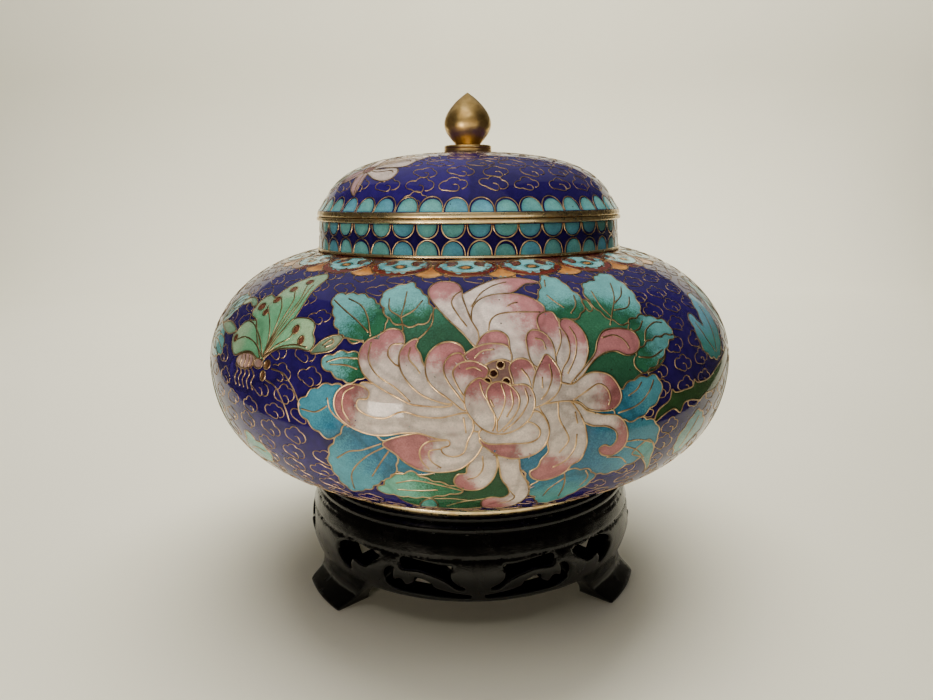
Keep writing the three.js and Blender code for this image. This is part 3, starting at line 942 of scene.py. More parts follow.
# %% Clouds
CLOUD_NOTCHES = [(1.8, -2.1), (1.8, 1.5), (-1.6, 1.5), (-4.1, -0.4), (-2.3, -1.8), (0.4, -2.8), (1.3, -1.5),
                 (-0.3, -0.4)]
CLOUD_BULGES = [1.1, 0.8, 0.6, 0.35, 0.12, 0.5, 0.55]
DROP = [(-2.5, -0.3), (-0.7, 0.85), (0.9, 1.1), (1.9, 0.3), (1.5, -0.8), (0.1, -1.05), (-1.7, -0.75)]
CLOUD_PITCH = 10.6
CLOUD_ROW = 5.6
FRONT_END = 75.0     # degrees, where the front's cloud wires end and the back's begin


def cloud(chance):
    """One cloud wire, each a little different."""
    notches = np.array(CLOUD_NOTCHES) + chance.uniform(-0.2, 0.2, (8, 2))
    line = arcs(notches, np.array(CLOUD_BULGES) * chance.uniform(0.85, 1.15, 7))
    return line * (chance.uniform(0.92, 1.03), chance.uniform(0.8, 0.94))


def sky(plan, rows, size=1.0):
    """Rows of cloud wires on the open ground, and drops where a cloud finds no room."""
    for s, count in rows:
        for k in range(count):
            place = k + 0.5 * (round(s / CLOUD_ROW) % 2) + plan.chance.uniform(-0.06, 0.06)
            azimuth = BOWL_SEAM + place * 360 / count
            height = s + plan.chance.uniform(-0.4, 0.4)
            turn = plan.chance.uniform(-12, 12)
            for shape, share in ((cloud(plan.chance) * size, 0.5), (even(spline(DROP), 0.4), 0.3)):
                line = plan.sheet.set_down(shape, azimuth, height, turn)
                cover = owners(plan, line, np.ones(len(line))) > 0
                if cover.mean() <= share:
                    kind = "cloud" if plan.sheet.disc or azimuth < FRONT_END else "back_cloud"
                    plan.wires.insert(0, (line, False, 1, kind))
                    break


# %% [markdown]
# ## Borders
# Half-round turquoise cells stand along the lid's edge and run twice round the neck. The turquoise was
# packed short of the wire, so cobalt shows as a dark line or crescent inside most of them. On the shoulder a
# collar of twenty oval cloud heads lies on maroon, with ochre lappets hanging between them.

# %% Borders
COBALT = "#2a1a66"
COBALT_DEEP = "#211452"
TURQUOISE = "#5a9fa8"
TURQUOISE_GREEN = "#62a3a2"
SKY_BLUE = "#5796ab"
NECK_ROUNDS = 43
LID_ROUNDS = 44
ROUND_RADIUS = 3.45


def half_round(plan, azimuth, s, radius, up, height):
    """A half-round cell on its straight side, its glass a little short of the arch of wire."""
    t = np.linspace(0, math.pi, 17)
    arch = np.column_stack([-np.cos(t) * radius, np.sin(t) ** 0.85 * height * up])
    arch *= 1 + plan.chance.uniform(-0.06, 0.06, 2)
    plan.cell(plan.sheet.set_down(arch, azimuth, s), COBALT_DEEP, wired=False)
    packed = arch * plan.chance.uniform((0.84, 0.78), (0.93, 0.93)) + (plan.chance.uniform(-0.3, 0.3), 0)
    packed = plan.sheet.set_down(packed, azimuth, s)
    other = SKY_BLUE if plan.chance.random() < 0.35 else TURQUOISE_GREEN
    plan.cell(packed, TURQUOISE, other, packed[0], packed[8], wired=False)
    plan.wire(plan.sheet.set_down(arch, azimuth, s), kind="band")


def oval(plan, azimuth, s, width, height, near, far, turn=0.0, kind="band", wired=True):
    """An elliptical cell."""
    t = np.linspace(0, 2 * math.pi, 22, endpoint=False)
    shape = np.column_stack([np.cos(t) * width / 2, np.sin(t) * height / 2])
    outline = plan.sheet.set_down(shape, azimuth, s, turn)
    plan.cell(outline, near, far, outline[11], outline[0], kind=kind, wired=wired)


# %% Collar
MAROON = "#5a2620"
OCHRE = "#c48a48"
COLLAR_COUNT = 20
COLLAR_PITCH = 360 / COLLAR_COUNT
COLLAR_HEIGHT = 106.8
COLLAR_LOW = 106.5
LAPPET_HEIGHT = 103.6


def belt(plan, low, high, near, far):
    """A plain ring of glass between two distances up the bowl."""
    left, right = STRIP_START - OVERLAP, STRIP_END + OVERLAP
    outline = [(left, low), (right, low), (right, high), (left, high)]
    plan.cell(outline, near, far, (0, low), (0, high), wired=False)


def collar(plan):
    """Oval cloud heads on maroon, with ochre lappets hanging between them."""
    belt(plan, COLLAR_LOW, NECK_START, MAROON, "#46201f")
    for k in range(COLLAR_COUNT + 1):
        t = np.linspace(0, 2 * math.pi, 24, endpoint=False)
        shape = np.column_stack([np.cos(t) * 4.6, np.sin(t) * 4.0])
        outline = plan.sheet.set_down(shape, BOWL_SEAM + k * COLLAR_PITCH, LAPPET_HEIGHT)
        plan.cell(outline, OCHRE, "#94592e", outline[18], outline[6], wired=k < COLLAR_COUNT, kind="band")
    for k in range(COLLAR_COUNT):
        azimuth = BOWL_SEAM + (k + 0.5) * COLLAR_PITCH
        oval(plan, azimuth, COLLAR_HEIGHT, 17.6, 13.2, "#642c22", MAROON)
        oval(plan, azimuth, COLLAR_HEIGHT + 0.7, 14.4, 9.8, TURQUOISE, "#79b7b9")
        for hand in (-1, 1):
            oval(plan, azimuth + hand * 4.2, COLLAR_HEIGHT + 2.2, 3.6, 4.4, "#4a2321", "#5b3a33",
                 turn=hand * 25)
            oval(plan, azimuth + hand * 6.2, COLLAR_HEIGHT + 1.0, 2.2, 3.0, "#7fb9ba", "#5a9ca4", wired=False)
        oval(plan, azimuth, COLLAR_HEIGHT - 0.6, 4.6, 3.4, "#3f6f66", "#2e4f4c", wired=False)
        oval(plan, azimuth, COLLAR_HEIGHT - 0.6, 2.8, 2.0, "#b98450", OCHRE)


# %% [markdown]
# ## Petals and leaves
# In the front picture an outline goes through a few given points, each an angle round the jar and a
# distance up its side, and a petal's folds are lines of their own inside it. The side and back flowers are
# plainer, so their petals come from four templates, bent along a curved middle line from base to tip.

# %% Petals
PETAL_WHITE = "#d2c4ba"
PETAL_PINK = "#a56a6c"
OUTLINE_STEP = 0.6
NO_PINK = 200        # millimetres up the bowl: a pink end so far off that the petal stays white


def drawn(plan, points, closed=True):
    """A smooth line through points given as angle and distance."""
    return spline([plan.sheet.at(*point) for point in points], closed=closed)


def loose_wire(plan, points):
    """A wire through points given as angle and distance."""
    plan.wire(drawn(plan, points, closed=False))


def petal(plan, outline, white, pink, folds=(), near=PETAL_WHITE, far=PETAL_PINK):
    """One petal: glass that turns from white at one point to pink at the other, and wires for its folds."""
    ring = even(drawn(plan, outline), OUTLINE_STEP, closed=True)
    plan.cell(ring, near, far, plan.sheet.at(*white), plan.sheet.at(*pink))
    for fold in folds:
        loose_wire(plan, fold)


TEMPLATES = {
    "club": ([(0, -.28), (.3, -.52), (.6, -.88), (.82, -1), (.95, -.7), (1, -.1), (.97, .5), (.86, .9),
              (.68, .95), (.45, .66), (.2, .4), (0, .28)],
             [(.1, .05), (.4, .12), (.66, .42), (.82, .45), (.9, .1)]),
    "hook": ([(0, -.35), (.25, -.62), (.5, -.9), (.75, -1), (.92, -.75), (1, -.15), (.99, .45), (.92, .95),
              (.82, 1.15), (.72, 1.02), (.7, .74), (.76, .52), (.79, .26), (.73, .02), (.6, -.02), (.42, .18),
              (.2, .4), (0, .42)],
             [(.66, -.98), (.82, -.6), (.88, .02), (.87, .6), (.8, 1.1)]),
    "blade": ([(0, -.4), (.3, -.85), (.65, -.85), (.9, -.35), (1.02, .05), (.86, .5), (.6, .85), (.3, .8),
               (0, .4)],
              [(.08, -.05), (.4, .25), (.7, .2), (.95, .05)]),
    "leaf": ([(0, -.1), (.12, -.6), (.3, -.95), (.5, -1), (.7, -.8), (.88, -.42), (1, 0), (.88, .45),
              (.68, .85), (.48, 1), (.28, .9), (.1, .55), (0, .1)],
             [(0, 0), (.5, .05), (.96, 0)]),
}


def bent(plan, shape, base, tip, width, bend=0.0, side=1):
    """A template laid along a bent middle line: bend is the sag to the left over the length."""
    a, b = plan.sheet.at(*base), plan.sheet.at(*tip)
    k = 1.0 if plan.sheet.disc else plan.sheet.squeeze([(a + b) / 2])[0]
    true = np.array([k, 1.0])
    a, b = a * true, b * true
    middle = (a + b) / 2 + 2 * bend * np.array([a[1] - b[1], b[0] - a[0]])
    x, y = np.asarray(shape, float).T
    t = x[:, None]
    centre = (1 - t) ** 2 * a + 2 * t * (1 - t) * middle + t * t * b
    slope = (1 - t) * (middle - a) + t * (b - middle)
    out = np.column_stack([-slope[:, 1], slope[:, 0]]) / np.linalg.norm(slope, axis=1)[:, None]
    return (centre + out * (side * y * width / 2)[:, None]) / true


def plain_petal(plan, kind, base, tip, width, bend=0.0, side=1, blush=0.65, far=PETAL_PINK, folded=True):
    """A petal from a template: white at its base, pink from blush on, and a wire for its fold."""
    outline, fold = TEMPLATES[kind]
    ring = bent(plan, spline(outline, closed=True), base, tip, width, bend, side)
    ring = even(ring, OUTLINE_STEP, closed=True)
    start, end = bent(plan, [(blush - 0.3, 0), (blush + 0.3, 0)], base, tip, width, bend, side)
    plan.cell(ring, PETAL_WHITE, far, start, end)
    if folded:
        plan.wire(bent(plan, spline(fold), base, tip, width, bend, side))


# %% Leaves
LEAF_GREEN = "#275a40"
LEAF_TURQUOISE = "#5e9ea0"
LEAF_BLUE = "#38788f"
TOOTH = 4.4          # millimetres along a leaf's edge from one tooth to the next
TOOTH_DEPTH = 0.75


def toothed(ring):
    """A leaf's edge: an outline with small rounded teeth standing out of it."""
    ring = even(ring, TOOTH / 7, closed=True)
    ahead = np.roll(ring, -1, axis=0) - np.roll(ring, 1, axis=0)
    out = np.column_stack([ahead[:, 1], -ahead[:, 0]]) / np.linalg.norm(ahead, axis=1)[:, None]
    area = np.sum(ring[:, 0] * np.roll(ring[:, 1], -1) - np.roll(ring[:, 0], -1) * ring[:, 1])
    wave = np.abs(np.sin(math.pi * round(len(ring) / 7) * np.arange(len(ring)) / len(ring)))
    return ring + math.copysign(TOOTH_DEPTH, area) * wave[:, None] * out


def leaf(plan, outline, root, edge, veins=(), near=LEAF_GREEN, far=LEAF_TURQUOISE, smooth=False):
    """A leaf drawn through given points, darker at its root, with long wires for its veins."""
    ring = drawn(plan, outline)
    ring = even(ring, OUTLINE_STEP, closed=True) if smooth else toothed(ring)
    root, edge = plan.sheet.at(*root), plan.sheet.at(*edge)
    plan.cell(ring, near, far, 0.75 * root + 0.25 * edge, edge)
    for vein in veins:
        loose_wire(plan, vein)


def plain_leaf(plan, base, tip, width, bend=0.0, near=LEAF_GREEN, far=LEAF_TURQUOISE):
    """A leaf from the template, with a middle vein and two pairs of side veins."""
    outline, middle = TEMPLATES["leaf"]
    ring = toothed(bent(plan, spline(outline, closed=True), base, tip, width, bend))
    start, end = bent(plan, [(0.05, 0), (0.8, 0)], base, tip, width, bend)
    plan.cell(ring, near, far, start, end)
    plan.wire(bent(plan, spline(middle), base, tip, width, bend))
    for root in (0.08, 0.34):
        for hand in (-1, 1):
            vein = bezier((root, 0), (root + 0.12, hand * 0.3), (root + 0.3, hand * 0.62),
                          (root + 0.48, hand * 0.55), 8)
            plan.wire(bent(plan, vein, base, tip, width, bend))


# %% [markdown]
# ## The great chrysanthemum
# The flower faces the front: long petals reach out and curl, shorter ones stand round a closed heart with
# four dark stamens. Far petals go down first, so that each nearer one covers the foot of the last. Green and
# blue foliage lies behind and fills every gap between the petals.

# %% Foliage of the chrysanthemum
def front_foliage(plan):
    """The leaves behind the great flower, from the shade at its middle outward."""
    leaf(plan, [(-18.5, 79), (-17.5, 84.5), (-12, 83.5), (-8.5, 83), (-7.4, 86), (-6.2, 87), (-3.5, 84),
          (-1, 88), (2, 84), (2, 74), (-8, 66), (-16, 70)], (-8, 72), (-12, 90), near="#29523c",
         far="#37705a", smooth=True)
    leaf(plan, [(15, 62), (16, 74), (17, 84), (20, 86), (23, 88.5), (26, 87), (29, 84), (32, 80.5),
          (34, 77.5), (35, 73), (37, 69.5), (35.6, 67), (33, 65.3), (30, 65), (26, 62), (20, 61)], (20, 66),
         (27, 88), near="#29523c", far="#35694f", smooth=True)
    leaf(plan, [(-15, 40.5), (-9, 42.5), (-3, 44), (4, 47), (8, 46), (8, 35), (7, 30), (4, 26), (1, 21.5),
          (-4, 20.5), (-9, 21.5), (-13, 25), (-14.5, 32)], (4, 38), (-14, 24), near="#25492f",
         far="#2f6046", smooth=True)
    leaf(plan, [(-20.5, 54.5), (-16, 55), (-10, 55), (-6, 50), (-6, 42), (-10, 40.5), (-13, 41.5),
          (-16, 46)], (-8, 46), (-22, 54), near="#356f88", far="#3f86a0", smooth=True)
    leaf(plan, [(4, 50), (8, 44), (10, 38), (10.6, 33.5), (13, 36), (17, 38.8), (21, 38.6), (24, 37.2),
          (27, 37), (29.2, 38.6), (32, 40), (34.8, 45), (34, 50), (31, 52.6), (28.6, 53.4), (26.5, 57),
          (23, 59), (14, 59)], (12, 50), (38, 42), near="#2f6684", far="#46879c")
    leaf(plan, [(-29.5, 89.6), (-27, 90.7), (-23, 90.8), (-20.3, 89.2), (-17.8, 86.6), (-15.6, 82),
          (-17, 77.5), (-20, 76), (-22.6, 76.8), (-25, 79.4), (-27, 83.6)], (-16.5, 78.5), (-26.5, 88),
         ([(-17.8, 77.6), (-19.5, 83), (-22, 87), (-25.8, 89.3)], [(-18.4, 78.6), (-21.5, 82), (-25, 85),
           (-29, 88.4)]))
    leaf(plan, [(-18.3, 90.4), (-17.2, 93.8), (-15, 95.6), (-12.9, 96.6), (-11.6, 94.2), (-10, 92.4),
          (-8.6, 89.6), (-7.3, 85.6), (-8.2, 82.6), (-11, 81.4), (-14.4, 82.6), (-16.6, 86)], (-12, 80),
         (-13.4, 93), ([(-12, 79.6), (-13, 83.5), (-15.6, 86), (-16.6, 90)], [(-13, 83.5), (-13, 88),
           (-13.4, 93)], [(-13, 83.5), (-10.8, 86), (-9.5, 89.6)]))
    loose_wire(plan, [(-7, 86), (-6.9, 82), (-8, 79), (-9.6, 76.6)])
    leaf(plan, [(-26.2, 69.6), (-24.2, 71.6), (-22, 72.6), (-19, 72), (-17, 69), (-18.5, 66.4),
          (-20.8, 65.5), (-23, 66.8)], (-17.5, 68.5), (-25.5, 70), ([(-19, 71.4), (-22.5, 71.2),
           (-25.2, 69.7)], [(-19, 68.6), (-21.5, 69.4), (-24.4, 69.2)]))
    leaf(plan, [(-29, 71.7), (-27.6, 75), (-25.6, 77), (-23.3, 77.3), (-23.2, 75.8), (-24.6, 73),
          (-27, 71.9)], (-29, 71), (-23, 77), ([(-26.9, 74), (-25.2, 76), (-24.8, 74.8), (-26.3, 73.6)],),
         near="#64806a", far="#8b9b80", smooth=True)
    loose_wire(plan, [(-23.3, 76.8), (-20.6, 76.3), (-18.8, 76.2)])
    leaf(plan, [(-30.2, 57), (-28.4, 60.2), (-26.3, 62.6), (-23, 64), (-20, 62), (-19, 57), (-20, 53.2),
          (-22, 51), (-24, 49.7), (-26.2, 51), (-28, 53.2)], (-20, 52), (-27, 61), ([(-20.4, 53.4),
           (-23.4, 57), (-24.2, 60.6)], [(-29.6, 56.6), (-26.6, 56.4), (-24.2, 58.4)]), near="#2f6a88",
         far="#44889f")
    leaf(plan, [(-19.8, 53.8), (-22.4, 50.2), (-24.5, 46), (-25.4, 41.5), (-25, 37), (-24.6, 33),
          (-23.5, 29.4), (-21.4, 31), (-19, 33), (-17, 36), (-14.6, 38.6), (-13, 42), (-12.6, 46),
          (-14.2, 50)], (-13, 50), (-23.5, 36), ([(-14, 49), (-18, 45), (-21.4, 39), (-22.9, 31)],
          [(-14.8, 49.6), (-18.4, 47.2), (-21, 46.2), (-23.6, 43.5)], [(-13.6, 47.6), (-15.4, 43.6),
           (-17.6, 38.4)]), near="#2f6988", far="#4c90a2")
    leaf(plan, [(-17.4, 32), (-15.6, 35.6), (-14.2, 38.4), (-11.8, 40.2), (-9.8, 41), (-8.4, 39.2),
          (-5.4, 37.4), (-1.5, 34.6), (-5, 32.4), (-8.6, 30.6), (-12.5, 30.2)], (-2.5, 35), (-15, 34),
         ([(-1.5, 34.4), (-6, 37), (-10, 38.2), (-13.4, 36.6)], [(-6, 34.6), (-9.6, 33.8), (-13.6, 33.6)]),
         near="#31694a", far="#68ad97")
    leaf(plan, [(-10.6, 22), (-9.6, 27), (-7.6, 29.6), (-6.8, 26), (-7.4, 22)], (-7, 26), (-10, 24),
         near="#4c8f83", far="#69aaa0", smooth=True)
    loose_wire(plan, [(3, 30), (-1.6, 28), (-5, 24)])
    loose_wire(plan, [(-0.6, 28.9), (-3.4, 30), (-7, 29.8)])
    leaf(plan, [(10.6, 33), (12.4, 29), (13.6, 25), (15.6, 22.4), (18.2, 25), (20.2, 29), (22, 33),
          (22.6, 36.4), (20.4, 39.4), (16, 40), (12, 37.6)], (16, 42), (16.5, 26), ([(16.2, 40), (17, 35),
           (17.3, 27.6)], [(20.4, 39.4), (21.4, 36.4), (20.6, 32.6)], [(16.6, 37.6), (14.4, 33.6),
           (13.8, 29.4)]), near="#33708a", far="#549698")
    leaf(plan, [(23.4, 60.6), (25.8, 61.8), (28.4, 63.6), (31, 63.9), (33.4, 63.6), (34.4, 61), (33.8, 58),
          (31.5, 55.4), (28.6, 53.4), (25, 55)], (25, 55), (33, 62.5), ([(25, 55.8), (29, 57.1),
           (31.6, 60.2), (32.8, 63)], [(27, 60), (28.8, 61.2), (30, 63)]), near="#33708c", far="#4f90a2")
    leaf(plan, [(29.6, 42.6), (31.6, 40.8), (33.6, 38.4), (35.8, 34.6), (37.4, 31), (36.4, 35.6),
          (35.4, 39), (34.9, 43), (32.6, 46)], (30, 44), (37, 32), near="#5ba3a3", far="#82b5a6",
         smooth=True)
    for vein in ([(27, 47), (30.6, 46.6), (34.4, 44.4)], [(26.6, 46), (30.4, 43.4), (33.4, 39.4)],
                 [(24, 43), (27, 42), (29, 39.4)]):
        loose_wire(plan, vein)
    leaf(plan, [(13.9, 86), (14.1, 90), (15.3, 93), (16.4, 96.6), (17.3, 99.4), (19.3, 98.8), (21, 96.8),
          (21.8, 93), (22.9, 89.4), (22.2, 85), (19.4, 82.4), (16.4, 83)], (18.6, 81.5), (18, 94),
         ([(16, 91), (17, 88.5), (18.5, 86)], [(22, 90.4), (21.2, 86.6), (19.4, 84)], [(17.4, 97.6),
           (16.6, 94.4)]))
    loose_wire(plan, [(23.4, 90), (23, 86.4), (23.5, 84.2), (24.5, 85), (24.3, 88.4)])
    leaf(plan, [(24.9, 88), (25.2, 92), (27, 95), (29.6, 95.4), (31.6, 97.6), (34, 98.6), (35.8, 98.4),
          (36.6, 95), (37.2, 90.6), (36.6, 86), (35, 81.4), (32.4, 80), (29.4, 79.6), (26.4, 83)],
         (27.6, 79), (32.5, 93), ([(26.6, 79.3), (28.6, 83.4), (31.4, 88.4), (33.6, 94)],
          [(27.8, 81.6), (26.6, 86), (26.8, 91.4)], [(29.2, 83.8), (33, 84.4), (35.4, 87.8)],
          [(30.4, 86.2), (33.4, 88.6), (35.6, 92)]))
    leaf(plan, [(31, 79), (32.6, 80), (35.4, 80.8), (38, 79.6), (40.4, 78), (41.1, 75.4), (40, 73.6),
          (37.4, 72.4), (33, 71), (30.6, 73)], (31, 73), (39.5, 77), ([(33, 73.6), (34.4, 76.6),
           (37.4, 78.4), (39.6, 78)], [(30.2, 70.2), (34.4, 73.4), (38, 74.2), (41.1, 73.8)]))
    leaf(plan, [(30, 70), (34, 73), (38, 73.8), (41, 73.6), (39, 72.6), (37, 70), (35.8, 68.8),
          (33.2, 66.6), (30, 66)], (30, 68), (38, 73), ([(30.4, 69.6), (33.4, 69), (36.6, 70.4)],))
    loose_wire(plan, [(30.8, 77.6), (31.4, 76.8), (33, 77.4), (34.6, 79.4)])


# %% Petals of the chrysanthemum
def great_flower(plan):
    """Petals from the far side of the flower to its heart."""
    ground = [(-10, 55), (-8, 64), (-3, 70), (4, 74), (11, 71), (17, 64), (17, 57), (14, 52), (9, 46),
              (2, 47)]
    plan.cell(even(drawn(plan, ground), OUTLINE_STEP, closed=True), PETAL_WHITE, wired=False)
    petal(plan, [(0.7, 76), (-0.6, 81), (-1.5, 85.5), (-2.6, 90), (-0.8, 92.8), (2.2, 95.9), (5.5, 98.4),
           (9.5, 99.4), (13, 98.6), (15.8, 96.4), (12.4, 96), (9.6, 93), (6.5, 91.4), (3, 90), (1.4, 87),
           (1, 82)], (4, 93), (12, 98), ([(8.2, 97.2), (5, 95.6), (2.2, 92.3), (0.2, 87.3)],))
    petal(plan, [(3.8, 70), (1.6, 76), (0.3, 82), (0.6, 87.5), (3, 91), (7.5, 92.2), (11.5, 91),
           (14.2, 87.6), (14.3, 84.6), (13, 80), (12.5, 74), (9, 70)], (5, 80), (15, 88),
          ([(7.2, 87.3), (8.1, 88.2), (9.4, 88.7)], [(3.2, 79.7), (3.7, 82.8), (5.4, 84.8), (8.7, 85.3),
            (13.4, 85)]))
    petal(plan, [(0.9, 75.4), (-1.5, 79.4), (-3.9, 83), (-6.3, 87), (-8.3, 91), (-8.8, 94.3), (-7.6, 97.2),
           (-5.2, 97.9), (-2.8, 96.8), (-1.7, 94), (-1.5, 91), (-0.8, 87.4), (0.2, 83), (1.4, 79)],
          (-4, 87), (-5.8, 97), ([(-1.8, 93.4), (-3.2, 91.4), (-3.6, 88.6), (-2.4, 85), (-0.6, 81)],))
    petal(plan, [(12.6, 78), (12.2, 80.8), (12.6, 83.5), (14.2, 85), (15.8, 84.6), (16.3, 82), (16.9, 79),
           (17.2, 75), (16.4, 70), (14, 67), (13, 72)], (15, 73), (14, 84), ([(16.1, 79.4), (15.8, 76),
            (14.4, 72.2)],))
    petal(plan, [(10.4, 70), (9.6, 75), (9.8, 78), (11, 79.6), (12.8, 78.8), (14, 76.4), (14.3, 73.3),
           (13.8, 69)], (11.6, 71.5), (11.2, 79), ([(11.2, 77.2), (12.5, 76.4), (12.8, 74)],))
    petal(plan, [(16.3, 80.2), (17.1, 82.3), (18.8, 82), (20.1, 79.7), (20.8, 76.3), (20.3, 72),
           (18.9, 68.6), (17, 65.6), (14.6, 63), (15, 68), (16.8, 72), (17.2, 77)], (18, 69), (18.4, 81.5),
          ([(18.1, 80), (18.7, 76.5), (17.9, 72), (16, 67.4)],))
    petal(plan, [(16.4, 65), (19.2, 68.7), (21.6, 72), (22.8, 75.3), (24.8, 77.9), (28, 78.2), (31, 76.8),
           (31.7, 74), (30.5, 71.2), (28, 70.5), (25.8, 72), (23.2, 71.7), (20.6, 69.6), (18, 65.8)],
          (18, 68), (25, 75.5), ([(23.8, 76), (26.5, 76.4), (28.3, 74.6), (28.9, 72.2)],))
    petal(plan, [(13.5, 61), (17.2, 59.8), (19, 57.6), (21.8, 56.1), (24.8, 55.2), (26.6, 52.6), (27.5, 49),
           (27.2, 45.6), (25.2, 43.4), (22.9, 44.1), (22, 46.2), (23, 47.2), (24.3, 46.4), (25.3, 48.3),
           (24.8, 50.8), (22.9, 52.6), (20.2, 53.3), (18, 55), (15.5, 57)], (22, 54.5), (25.6, 44.5))
    petal(plan, [(10.4, 61.6), (15, 61.6), (17.4, 57.8), (18.9, 53), (19.4, 48), (18.7, 43.6), (17.2, 42.2),
           (16.6, 40.2), (14.6, 38.2), (12.4, 37.5), (10.5, 38.8), (9.9, 41.2), (11.2, 42.6), (11.6, 45),
           (12.7, 47.3), (12.4, 50), (12.4, 55)], (14, 48.5), (12.4, 40.5), ([(17.4, 51.6), (17.3, 47.6),
            (16, 44), (13.8, 42)], [(14, 60.5), (14.2, 56.2), (15.6, 52.2), (16, 49.8), (14.6, 46.6)],
           [(16.9, 57.6), (17.4, 54.4)]))
    petal(plan, [(11, 60.6), (11.6, 64.6), (14.2, 65.4), (16.6, 64.7), (18.6, 66.5), (21, 67.2), (23.6, 66),
           (25.1, 63), (25.6, 59.8), (24.2, 57.2), (21.6, 57), (19.2, 58), (17.6, 60), (15, 60.6)],
          (19, 62), (25.6, 60.5), ([(16.6, 60.6), (19, 62.6), (21.2, 64.1), (22.8, 62.7), (23.4, 60),
            (23, 58.3)],))
    petal(plan, [(4.2, 49), (4.6, 43.5), (5.2, 39), (6.5, 35.2), (6.8, 32), (5.7, 30.2), (3.8, 30.8),
           (2.2, 29.2), (1.9, 25.5), (2.8, 22), (5.4, 20.6), (8.2, 22.6), (10, 27), (10.6, 32), (9.8, 37),
           (8.3, 41.6), (7.2, 49)], (7.6, 30), (2.8, 25), ([(6.9, 33.8), (8.1, 30.3), (7.2, 27.3),
            (5.2, 26)],))
    petal(plan, [(1.9, 51.6), (3.6, 48.4), (4.3, 44), (3.7, 39.4), (2.2, 35.8), (0.2, 34.6), (-2, 35.6),
           (-3, 38.3), (-2.3, 41), (-0.9, 41.4), (-0.7, 43.4), (0.4, 47)], (1, 40.5), (-2.2, 37),
          ([(1.8, 47), (1.9, 43.2), (0.9, 40.3), (-0.7, 39.3)],))
    petal(plan, [(2.2, 52.6), (1.4, 48.6), (0.2, 45.8), (-1.8, 43), (-4.5, 41.8), (-8, 42), (-10.6, 44),
           (-12.6, 47), (-14.6, 49.6), (-12.4, 51.6), (-9, 53), (-6.2, 53), (-3, 53), (0, 54)], (-5.5, 46),
          (-9.5, 48.5), ([(-4, 51.4), (-6.9, 50.9), (-8.3, 48.6), (-8.2, 45.4), (-7, 42.6)],
           [(-5, 49), (-6.8, 48.2), (-6.6, 45.4), (-5, 43.2)]))
    petal(plan, [(-0.4, 61.4), (-5, 61.8), (-9, 62.4), (-12, 63.7), (-16.6, 65.4), (-18.4, 64.8), (-19, 60),
           (-18.6, 57.6), (-14, 56), (-8, 57), (-0.8, 57)], (-8, 60), (-8, NO_PINK))
    petal(plan, [(-0.6, 58.6), (-4.8, 57.4), (-8, 57.6), (-11, 58.6), (-14, 56.6), (-16.8, 57.1),
           (-18.6, 58.8), (-18.4, 61), (-16.9, 61.3), (-16.6, 63.2), (-18.2, 64.6), (-20.6, 64.5),
           (-22.4, 62.3), (-22.9, 59), (-22, 55.8), (-20, 53.6), (-17, 52.1), (-14, 52), (-11, 53),
           (-8.2, 53.1), (-5.4, 51.8), (-3.6, 51.4), (-3.5, 50), (-4.8, 49.2), (-4.4, 47.5), (-2.8, 46.8),
           (-1.2, 48), (-0.5, 51.5), (0.4, 55)], (-17, 57.5), (-22, 60.5), ([(-19.2, 64.2), (-21, 62.3),
            (-21.3, 58.3), (-20, 54.8)], [(-1.2, 57.6), (-0.8, 53.4)]))
    petal(plan, [(-3, 60.6), (-8.8, 60.4), (-11.4, 61.9), (-14.6, 64.2), (-17.2, 66.6), (-18.8, 69.8),
           (-19.2, 73), (-18.4, 76.2), (-16.4, 78), (-14.6, 80), (-12.4, 79.6), (-11.4, 77), (-11, 72),
           (-6, 65)], (-13, 71), (-15.2, 79.5), ([(-17.4, 76), (-17.3, 71.5), (-15.5, 67.6), (-12.2, 64.6),
            (-9.6, 61.2)], [(-11.6, 76), (-13.6, 75.4), (-14, 73), (-12.7, 70.6), (-11.8, 70)]))
    petal(plan, [(-3, 61), (-7, 62.4), (-9.8, 65.5), (-11.6, 69.5), (-12, 73), (-11.3, 75.4), (-10, 77.1),
           (-9, 77.3), (-9.3, 75.3), (-8.4, 73.3), (-7.6, 70.4), (-5, 66)], (-9, 69), (-10, 76.5),
          ([(-10.2, 75), (-10.3, 72.2), (-8.8, 69.6), (-8.2, 68.3)],))
    petal(plan, [(-0.6, 59.4), (-3.4, 62), (-6.4, 65.6), (-7.4, 69.4), (-7.1, 73.2), (-5.6, 75.8),
           (-3.6, 76.7), (-1.7, 75.8), (-0.9, 73.6), (0, 68)], (-4.6, 66.5), (-4, 76))
    petal(plan, [(0.9, 73.6), (1.5, 77.2), (3, 79.3), (5, 79.6), (6.4, 78), (6.6, 75), (6.4, 70), (3, 69)],
          (4, 72), (4, 79))
    petal(plan, [(-0.4, 60.8), (-2.4, 63.8), (-4, 67.4), (-4.4, 70.4), (-3.4, 73), (-1.8, 73.7),
           (-0.9, 72.5), (0.6, 72), (1, 66)], (-2.8, 66), (-2.4, 73.5))
    petal(plan, [(-1, 72.4), (0.2, 74.6), (2.2, 75.9), (4.4, 76.1), (6.3, 75.2), (6.8, 72), (5.5, 69),
           (2, 68.6)], (4, 70.5), (1, 76), ([(0.6, 72.4), (2, 74.2), (4, 74.6)],))
    petal(plan, [(1.4, 66), (1.6, 69.6), (4.4, 71.8), (6.6, 71), (7.4, 68), (7.2, 64.6)], (3, 66), (7, 71),
          near="#a18a7f", far="#8d6b66")
    petal(plan, [(-0.7, 62.8), (-2.2, 65.6), (-2.9, 68.8), (-1.8, 71), (0.2, 71.6), (2, 70.6), (2.9, 69),
           (1.6, 66)], (-1, 64.5), (-0.4, 71.5), ([(-0.8, 69.6), (0.6, 70), (1.8, 69)],))
